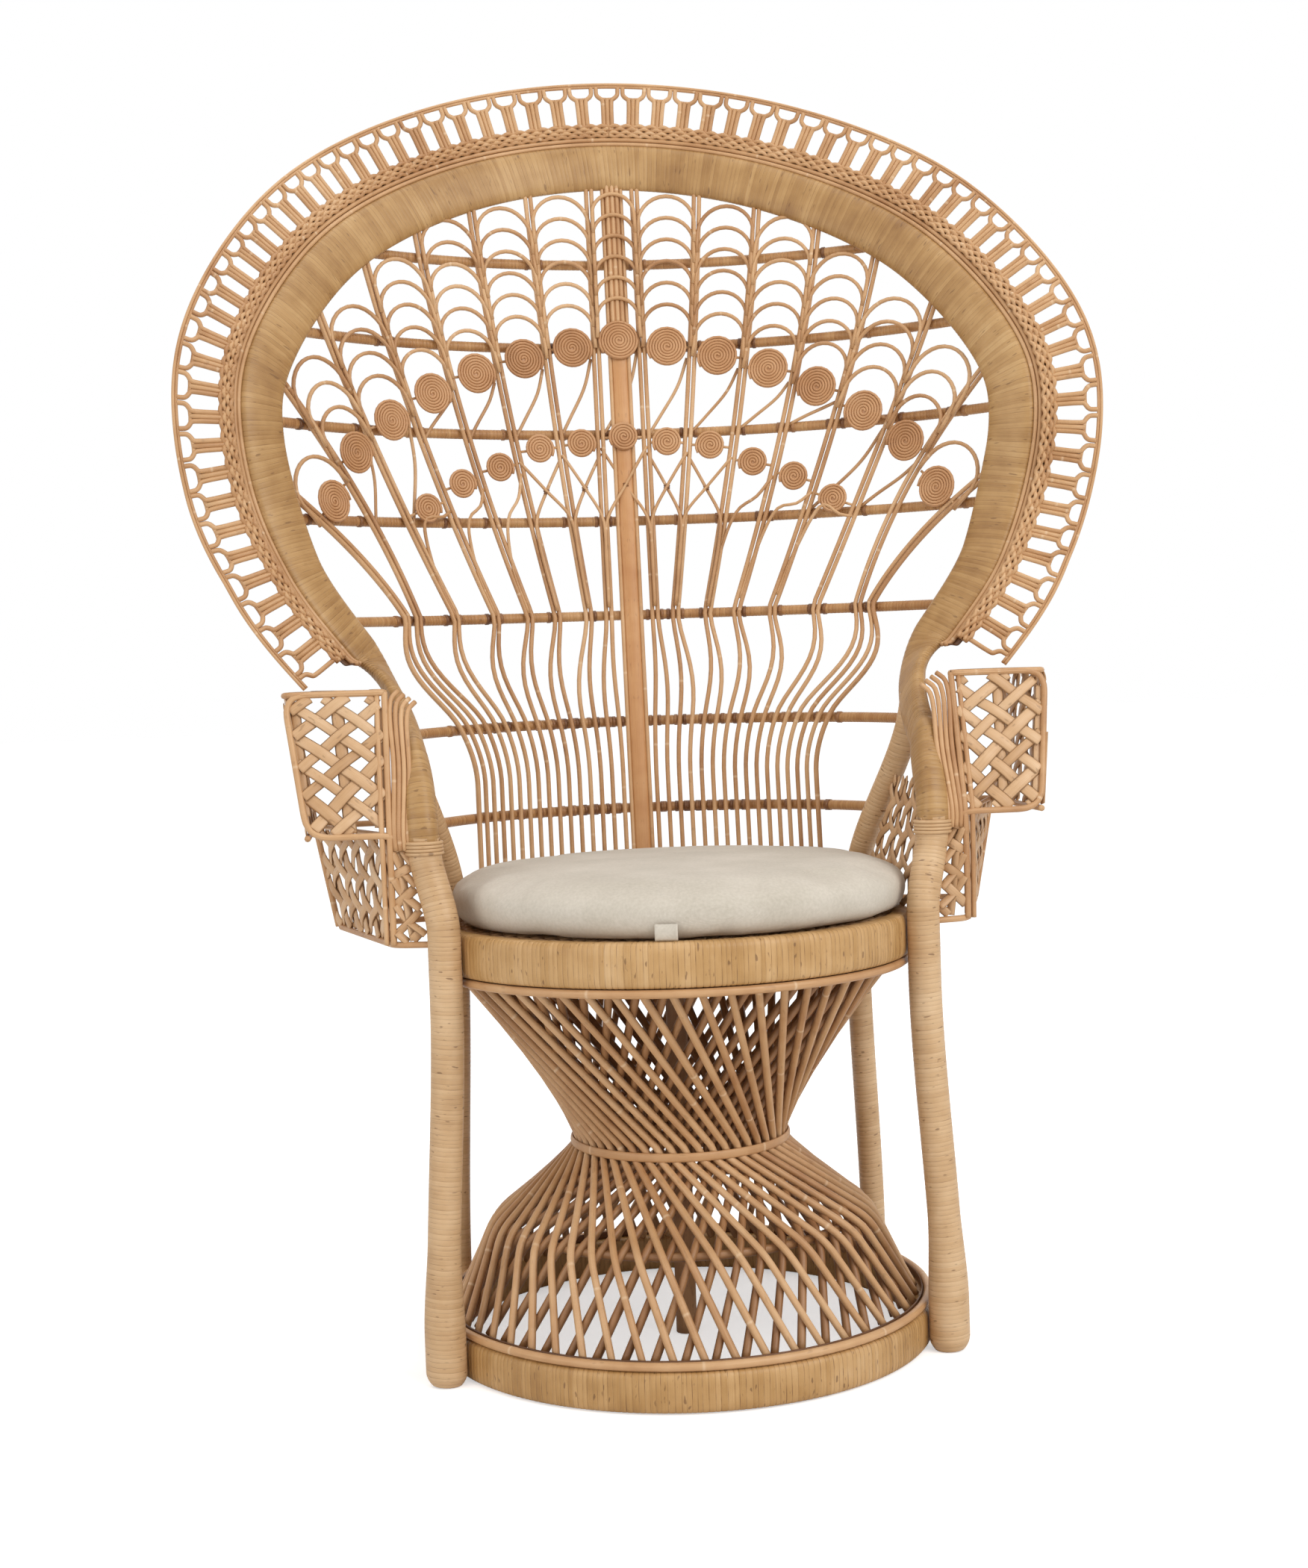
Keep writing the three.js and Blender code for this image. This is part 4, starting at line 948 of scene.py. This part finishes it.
def arch(piece, at, lift):
    """Arch whose feet run on down over the rods at its sides."""
    reach = at[4] + 0.9
    start, end = -reach + rng.uniform(-1.2, 1.2), reach + rng.uniform(-1.2, 1.2)
    crown = [reach * ray(a) for a in np.linspace(math.pi, 0, 15)]
    shape = [(start, -ARCH_LEG), (-reach, -ARCH_LEG / 2), *crown, (reach, -ARCH_LEG / 2),
             (end, -ARCH_LEG)]
    path = [in_column(at, x, y, lift + (SPOKE_R + 1.2) * smooth(0.7 - y / reach))
            for x, y in shape]
    rod(piece, path, ARCH_R, 6, at[3])


def slant(piece, k, *stops):
    """Thin rod in a column, through (height, share of the half width, lift)."""
    path = []
    for z, share, lift in stops:
        at = column_frame(k, z)
        path.append(in_column(at, share * (at[4] + 3), 0, lift))
    rod(piece, resample(centripetal(path, 6), 8.0), SLANT_R, 6)


def tie(piece, k, z):
    """Two turns of cane round a crossing in the middle of a column."""
    at = column_frame(k, z)
    for y in (-KNOT_HALF, KNOT_HALF):
        ring = [in_column(at, KNOT_REACH * math.cos(a), y, KNOT_DEPTH * math.sin(a))
                for a in np.linspace(0, 2 * math.pi, 10, endpoint=False)]
        rod(piece, ring, KNOT_R, 6, loop=True, material=1)


def make_column(k, name, node, sign):
    """The rods at both sides of column k with the discs, arches and crossings they hold."""
    piece = Piece(name)
    first = spoke_path(max(k, 0), int(k >= 0))
    second = at_side(first, -1) if k < 0 else spoke_path(k + 1, 0)
    for path in (first, second):
        rod(piece, path, DRAWN_R)
    upper_z = at_rise(DISC_SHARES[k + 1])
    upper = column_frame(k, upper_z)
    radius = min(DISC_R, upper[4] + 6)
    disc(piece, upper, radius)
    if k + 1 < len(SMALL_SHARES):
        lower_z = at_rise(SMALL_SHARES[k + 1])
        lower = column_frame(k, lower_z)
        disc(piece, lower, min(SMALL_R, lower[4] + 6))
        middle = mix(lower_z - 16, RIBS[3], 0.5)
        if k <= 1:
            for side in (-1, 1):
                slant(piece, k, (lower_z - 12, side, CROSS_LIFT * side),
                      (middle, 0, CROSS_LIFT * side), (RIBS[3] + 2, -0.86 * side, SLANT_LIFT),
                      (RIBS[3] - 24, -side, SLANT_LIFT), (RIBS[4] + 8, -side, SLANT_LIFT))
            tie(piece, k, middle)
        else:
            slant(piece, k, (lower_z - 12, sign, 0), (middle, 0.5 * sign, SLANT_LIFT),
                  (RIBS[3] + 4, -0.3 * sign, SLANT_LIFT),
                  (mix(RIBS[3], RIBS[4], 0.45), -0.9 * sign, 0), (RIBS[4] + 8, -sign, 0))
    ribs_below = [rib for rib in (RIBS[2], RIBS[3]) if upper_z > rib + 40]
    if ribs_below:
        rib = ribs_below[0]
        slant(piece, k, (upper_z - 12, 0.8 * sign, -SLANT_LIFT),
              (mix(upper_z, rib, 0.45), 0.45 * sign, -SLANT_LIFT),
              (mix(upper_z, rib, 0.8), -0.3 * sign, -SLANT_LIFT),
              (rib - 6, -0.95 * sign, -SLANT_LIFT))
    for i in range(MAX_ARCHES):
        rise = radius + (i + 1) * ARCH_PITCH
        at = column_frame(k, upper_z + (rise - upper[4]) * upper[1][2])
        if to_outline(in_column(at, 0, at[4], 0)) < ARCH_CLEAR:
            break
        arch(piece, at, 0.0 if k >= 0 else SLANT_LIFT)
    if sign < 0:
        piece.points = [at_side(p, -1) for p in piece.points]
        piece.faces = [face[::-1] for face in piece.faces]
    piece.finish([rods, tie_cane, disc_cane], node)


def make_fan():
    make_column(-1, "fan_centre_detail", "fan_column_centre", 1)
    for side, sign in SIDES:
        for k in range(PAIRS - 1):
            make_column(k, f"fan_{k + 1}_{side}_detail", f"fan_column_{k + 1}_{side}", sign)
        piece = Piece(f"fan_side_rod_{side}_round")
        rod(piece, at_side(spoke_path(PAIRS - 1, 1), sign), SPOKE_R)
        piece.finish([rods], f"fan_side_rod_{side}")


# Arms

ARM = {
    "top_inner": (302, -58, 714), "top_outer": (406, -58, 714), "top_rear": (406, 96, 714),
    "top_rear_inner": (350, 96, 714), "tier_inner": (302, -104, 568),
    "tier_outer": (385, -104, 568), "tier_rear": (385, 96, 568), "foot_inner": (302, -104, 455),
    "foot_rear": (364, 96, 455),
}
ARM = {name: np.array(place, float) for name, place in ARM.items()}
ARM_R, ARM_BEND, FRONT_BEND, THIN_R = 3.4, 15, 24, 2.6
INNER_ROD_R, POST_ROD_R, POST_INSETS = 2.8, 2.7, (6.0, 11.8, 17.6, 23.4)
PANELS = {
    "arm_front_cane": (("top_inner", "top_outer", "tier_outer", "tier_inner"), 23),
    "arm_top_cane": (("top_inner", "top_outer", "top_rear", "top_rear_inner"), 12),
    "arm_side_cane": (("top_outer", "top_rear", "tier_rear", "tier_outer"), 12),
    "arm_skirt_cane": (("tier_inner", "tier_rear", "foot_rear", "foot_inner"), 12),
}
PATCH_WEAVE, INNER_WEAVE, PANEL_WEAVE = (19.0, 10.0), (26.0, 12.0), (25.0, 12.5)
STRAP_STEP, STRAP_WAVE, STRAP_BEHIND, STRAP_WANDER, STRAP_LEAN = 2.5, 1.5, 3.0, 2.5, 0.07
STRAP_ANGLES = [math.radians(angle) for angle in (40, -43, 90)]
STRAP_RING = np.array([[-0.5, -0.8], [-0.35, 0.5], [0, 0.8], [0.35, 0.5], [0.5, -0.8], [0, -1]])


def make_arm(side, sign):
    """Frame of bent rods, with the rods that fill the gap at the post and two woven sides."""
    post, rear = front_leg(556, 455) + [8, 0, 0], rear_leg(568, 455) + [-4, 0, 0]
    a = ARM
    runs = [
        ([a["top_inner"], a["top_rear_inner"], a["top_rear"], a["top_outer"], a["top_inner"]],
         ARM_R, ARM_BEND),
        ([post[0], a["tier_inner"], a["tier_outer"], a["top_outer"], a["top_inner"]],
         ARM_R, FRONT_BEND),
        ([a["tier_outer"], a["tier_rear"], rear[0]], ARM_R, ARM_BEND),
        ([post[1], a["foot_inner"], a["foot_rear"], rear[1]], ARM_R, ARM_BEND),
        ([a["tier_inner"], a["tier_rear"]], THIN_R, ARM_BEND),
        ([a["top_inner"], a["tier_inner"], a["foot_inner"]], ARM_R, ARM_BEND),
        ([a["top_inner"] + [8, 0, -3], a["tier_inner"] + [8, 0, 3], a["foot_inner"] + [7, 3, 0]],
         INNER_ROD_R, ARM_BEND),
        ([a["top_rear"], a["tier_rear"], a["foot_rear"]], ARM_R, ARM_BEND),
    ]
    piece = Piece(f"arm_{side}_frame")
    for corners, radius, bend in runs:
        rod(piece, resample(at_side(rounded(corners, bend), sign), 5.0), radius)
    for i, inset in enumerate(POST_INSETS):
        high = a["top_inner"] - [inset, 0, 8 + 4 * i]
        low = a["tier_inner"] - [inset * 0.8, 0, 0]
        line = [high + [-8, 8, 9], high, mix(high, low, 0.5) - [1.5, 1, 0], low, low - [1, 0, 16]]
        rod(piece, resample(at_side(centripetal(line, 6), sign), 5.0), POST_ROD_R)
    post_line = front_leg(548, 458) + [14, 0, 0]
    patch = [post_line[0], a["tier_inner"], a["foot_inner"], post_line[1]]
    weave(piece, at_side(patch, sign), *PATCH_WEAVE, 1)
    near, far = front_leg(600, 462) + [4, 14, 0], rear_leg(600, 462) + [2, -12, 0]
    weave(piece, at_side([near[0], far[0], far[1], near[1]], sign), *INNER_WEAVE, 1)
    piece.finish([rods, straps], f"arm_frame_{side}")


def strap(piece, path, face, width, material):
    ring = STRAP_RING * [width, 1.0]
    grain = (travel(path) + rng.uniform(0, 500))[:, None], ring[:, 0], rng.uniform(0, 50)
    piece.grid(swept(path, ring, face)[0], grain, ring[:, 0] / width + 0.5, material=material)


def weave(piece, corners, pitch, width, material=0, bend=0.0):
    """Straps over a panel in two slanting directions, passing over and under each other, and
    a few upright ones behind them. bend rounds off the corners of the panel."""
    a, b, c, d = corners
    size = np.array([math.dist(a, b) + math.dist(c, d), math.dist(a, d) + math.dist(b, c)]) / 2
    diagonal = math.hypot(*size)
    face = unit(np.cross(b - a, d - a))
    face = -face if face[1] > 0 else face
    for family, angle in enumerate(STRAP_ANGLES):
        along = ray(angle)
        aside = np.array([-along[1], along[0]])
        spacing = pitch * (1 if family < 2 else 1.7)
        reach = int(diagonal / spacing) + 1
        for i in range(-reach, reach + 1):
            turn = rng.uniform(-STRAP_LEAN, STRAP_LEAN)
            ahead = along * math.cos(turn) + aside * math.sin(turn)
            start = size / 2 + aside * (i * spacing + rng.uniform(-STRAP_WANDER, STRAP_WANDER))
            at = start + ahead * np.arange(-diagonal / 2, diagonal / 2, STRAP_STEP)[:, None]
            inner = np.abs(at - size / 2) - size / 2 + 2 + bend
            outside = np.hypot(*np.maximum(inner, 0).T) + np.minimum(inner.max(axis=1), 0)
            at = at[outside < bend]
            if len(at) < 5:
                continue
            u, v = (at / size).T[:, :, None]
            path = mix(mix(a, b, u), mix(d, c, u), v)
            lift = np.full(len(at), -STRAP_BEHIND)
            if family < 2:
                other = STRAP_ANGLES[1 - family]
                sway = (at - size / 2) @ np.array([-math.sin(other), math.cos(other)])
                lift = STRAP_WAVE * (-1) ** (i + family) * np.cos(math.pi * sway / pitch)
            strap(piece, path + face * lift[:, None], face, width * rng.uniform(0.85, 1.1),
                  material)


def make_cane_panel(kind, side, sign):
    piece = Piece(f"{kind}_{side}_woven")
    names, bend = PANELS[kind]
    weave(piece, at_side([ARM[name] for name in names], sign), *PANEL_WEAVE, bend=bend)
    piece.finish([straps], f"{kind}_{side}", "pale_cane")


# Cushion, its tab and the deck below

CUSHION_R, CUSHION_T, CUSHION_X, CUSHION_FOOT = 248, 64, 7, SEAT_Z + FIT
CUSHION_SIDES, CUSHION_START, VOXEL, SWELL = 96, 5.0, 0.0065, 0.007
PROFILE_SHARES = [(0.5, 0.0), (0.86, 0.0), (0.94, 0.03), (0.975, 0.14), (0.995, 0.34),
                  (1.0, 0.52), (0.99, 0.68), (0.955, 0.82), (0.88, 0.90), (0.7, 0.955),
                  (0.45, 0.985), (0.2, 0.998)]
CREASES = ((5, 0.4, 0.8), (9, 2.0, 0.5), (17, 1.0, 0.35), (31, 4.0, 0.18))
TAB_ANGLE = math.radians(-100.2)
TAB_RING = np.array([[-11, -0.7], [-11.4, 0], [-11, 0.7], [-9.6, 1.0], [-9, 0.7], [9, 0.7],
                     [9.6, 1.0], [11, 0.7], [11.4, 0], [11, -0.7]])
DECK_PITCH, DECK_HALF, DECK_DROP, DECK_WAVE = 13.0, 6.0, 4, 1.2


def vertices(obj):
    return np.array([v.co for v in obj.data.vertices])


def make_cushion():
    """Crowned round cushion: a turned form, swollen as cloth under pressure."""
    r, tall = CUSHION_R - CUSHION_START, CUSHION_T - CUSHION_START
    profile = [(share * r, mix(CUSHION_FOOT, CUSHION_FOOT + tall, rise))
               for share, rise in [(0, 0), *PROFILE_SHARES, (0, 1)]]
    r, z = centripetal(profile, 3)[1:-1].T[:, :, None]
    angle = np.arange(CUSHION_SIDES) / CUSHION_SIDES * 2 * math.pi
    points = stack(CUSHION_X + r * np.cos(angle), r * np.sin(angle) + AXIS_Y, z) * MM
    number = np.arange(len(r) * CUSHION_SIDES).reshape(len(r), CUSHION_SIDES)
    right = np.roll(number, -1, 1)
    faces = np.stack([number[:-1], right[:-1], right[1:], number[1:]], -1).reshape(-1, 4).tolist()
    faces += [number[0][::-1].tolist(), number[-1].tolist()]
    mesh = bpy.data.meshes.new("seat_cushion")
    mesh.from_pydata(points.reshape(-1, 3).tolist(), [], faces)
    obj = add_object("seat_cushion", mesh)
    bpy.context.view_layer.objects.active = obj
    remesh = obj.modifiers.new("remesh", "REMESH")
    remesh.mode, remesh.voxel_size = "VOXEL", VOXEL
    bpy.ops.object.modifier_apply(modifier="remesh")
    before = vertices(obj)
    cloth = obj.modifiers.new("cloth", "CLOTH")
    cloth.settings.use_pressure = True
    cloth.settings.uniform_pressure_force = 4
    cloth.settings.effector_weights.gravity = 0
    scene = bpy.context.scene
    for step in range(1, 21):
        scene.frame_set(step)
    bpy.ops.object.modifier_apply(modifier="cloth")
    scene.frame_set(1)
    move = vertices(obj) - before
    size = np.linalg.norm(move, axis=1, keepdims=True)
    after = shape_cushion(before + move * np.minimum(1, SWELL / np.maximum(size, 1e-9)))
    obj.data.vertices.foreach_set("co", after.ravel())
    obj.data.polygons.foreach_set("use_smooth", [True] * len(obj.data.polygons))
    subdivide = obj.modifiers.new("soft", "SUBSURF")
    subdivide.levels = subdivide.render_levels = 1
    bpy.ops.object.modifier_apply(modifier="soft")
    obj.data.materials.append(cotton)
    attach(obj, "root")
    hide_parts("cushion")


def shape_cushion(points):
    """Full width and height, soft creases round the side, and a flat underside where it rests."""
    x, y, z = (points / MM - [CUSHION_X, AXIS_Y, CUSHION_FOOT]).T
    wider = (CUSHION_R - 1) / np.hypot(x, y).max()
    x, y, z = x * wider, y * wider, z * (CUSHION_T - 4) / z.max()
    around, radius = np.arctan2(y, x), np.hypot(x, y)
    above = z + FIT
    side = smooth((radius - 190) / 40) * smooth((above - 4) / 20)
    crease = side * sum(np.sin(n * around + phase) * depth for n, phase, depth in CREASES)
    dent = np.exp(-((radius - 120) / 90) ** 2) * np.sin(2 * around + 0.8) * 0.8
    x, y = x + crease * np.cos(around), y + crease * np.sin(around)
    z = np.maximum(z + smooth((above - 30) / 20) * dent, 0)
    return stack(x + CUSHION_X, y + AXIS_Y, z + CUSHION_FOOT) * MM


def make_tab():
    """Small folded tab of cloth on the cushion's front edge."""
    piece = Piece("cushion_fabric_tab")
    out = np.append(ray(TAB_ANGLE), 0)
    reach = CUSHION_R + 1.4 - 1.5 * np.linspace(-1, 1, 9) ** 2
    path = stack(CUSHION_X, 0, np.linspace(SEAT_Z + 1, SEAT_Z + 17, 9)) + out * reach[:, None]
    piece.grid(swept(path, TAB_RING, out)[0])
    tab = piece.finish([cotton], "cushion_tab", "cushion_cotton")


def make_deck():
    """Woven cane seat under the cushion."""
    piece = Piece("seat_deck_woven")
    radius = SEAT_R - HOOP_T - FIT - 1
    count = int(radius / DECK_PITCH)
    for direction in (0, 1):
        for i in range(-count, count + 1):
            c = i * DECK_PITCH
            reach = math.sqrt(radius ** 2 - c ** 2) - 1
            t = np.linspace(-reach, reach, max(6, int(reach / 4)))
            wave = DECK_WAVE * np.cos(math.pi * (t / DECK_PITCH + i + direction))
            z = SEAT_Z - DECK_DROP + wave
            path = stack(t, c, z) if direction == 0 else stack(c, t, z)
            rod(piece, path, DECK_HALF, 6, UP, flat=0.16)
    piece.finish([straps], "seat_deck", "pale_cane")


# Stage, lights and camera

def make_stage():
    """Pale floor that looks white and keeps the shadow."""
    mesh = bpy.data.meshes.new("floor")
    s = 30
    mesh.from_pydata([(-s, -s, 0), (s, -s, 0), (s, s, 0), (-s, s, 0)], [], [(0, 1, 2, 3)])
    floor = add_object("floor", mesh)
    floor.location = (0, 0, -0.0006)
    n, bsdf = surface("pale_floor")
    n.fill(bsdf, {"Base Color": (0.86, 0.86, 0.86, 1), "Roughness": 0.85})
    glow = n.fill(n.add("ShaderNodeEmission"), {"Strength": 0.5})
    lit = n.add("ShaderNodeAddShader", bsdf.outputs[0], glow.outputs[0])
    pick = n.add("ShaderNodeMixShader", n.rays("Is Camera Ray"), bsdf.outputs[0], lit.outputs[0])
    n.put(n.tree.nodes["Material Output"].inputs["Surface"], pick.outputs[0])
    floor.data.materials.append(n.owner)


def make_world():
    world = bpy.data.worlds.new("studio")
    bpy.context.scene.world = world
    n = Nodes(world)
    seen = n.rays("Is Camera Ray", "Is Glossy Ray", "Is Transmission Ray")
    level = n.add("ShaderNodeMapRange", seen, 0.0, 1.0, 0.62, 1.0)
    n.fill(n.tree.nodes["Background"], {"Color": (1, 1, 1, 1), "Strength": level.outputs[0]})


def add_light(name, location, target, size, power):
    lamp = bpy.data.lights.new(name, "AREA")
    lamp.shape, lamp.size, lamp.energy = "SQUARE", size, power
    obj = add_object(name, lamp)
    obj.location = location
    aim = Vector(target) - Vector(location)
    obj.rotation_euler = aim.to_track_quat("-Z", "Y").to_euler()


YAW, PITCH, ROLL = 0.1148, 0.0520, -0.0341
FOCAL_PX, HEIGHT_PX, SENSOR = 2877.3, 2100, 36


def make_camera():
    forward = Vector((math.sin(YAW), math.cos(YAW), 0))
    right = Vector((math.cos(YAW), -math.sin(YAW), 0))
    up = Vector((0, 0, 1))
    ahead = forward * math.cos(PITCH) - up * math.sin(PITCH)
    above = up * math.cos(PITCH) + forward * math.sin(PITCH)
    turned = right * math.cos(ROLL) + above * math.sin(ROLL)
    raised = above * math.cos(ROLL) - right * math.sin(ROLL)
    data = bpy.data.cameras.new("camera")
    data.sensor_width = SENSOR
    data.lens = FOCAL_PX / HEIGHT_PX * SENSOR
    data.clip_end = 60
    camera = add_object("camera", data)
    matrix = Matrix((turned, raised, -ahead)).transposed().to_4x4()
    matrix.translation = Vector((-0.2828, -2.3149 + AXIS_Y * MM, 0.7258))
    camera.matrix_world = matrix
    bpy.context.scene.camera = camera


make_hoop("base_hoop_wrapped", BASE_R, FIT, BASE_H - FIT, "base_hoop")
make_hoop("seat_hoop_wrapped", SEAT_R, SEAT_Z - SEAT_H, SEAT_H, "seat_hoop")
make_trim("base_trim_round", BASE_R, BASE_H + FIT + TRIM_R, "base_trim_rod")
make_trim("seat_trim_round", SEAT_R, SEAT_Z - SEAT_H - FIT - TRIM_R, "seat_trim_rod")
make_cage()
make_post()
make_deck()
make_legs()
make_band()
make_edge_rods()
make_border()
make_spine()
for number, height in enumerate(RIBS):
    make_rib(number, height)
make_fan()
for side_name, side_sign in SIDES:
    make_arm(side_name, side_sign)
    for panel in PANELS:
        make_cane_panel(panel, side_name, side_sign)
make_cushion()
make_tab()
make_stage()
make_world()
add_light("key", (1.9, -2.6, 2.5), (0, 0, 0.7), 2.2, 62)
add_light("fill", (-2.8, -2.0, 1.6), (0, 0, 0.7), 2.4, 26)
add_light("top", (0, 0.3, 3.4), (0, 0, 0.6), 2.4, 24)
make_camera()
bpy.context.scene.view_settings.view_transform = "Standard"
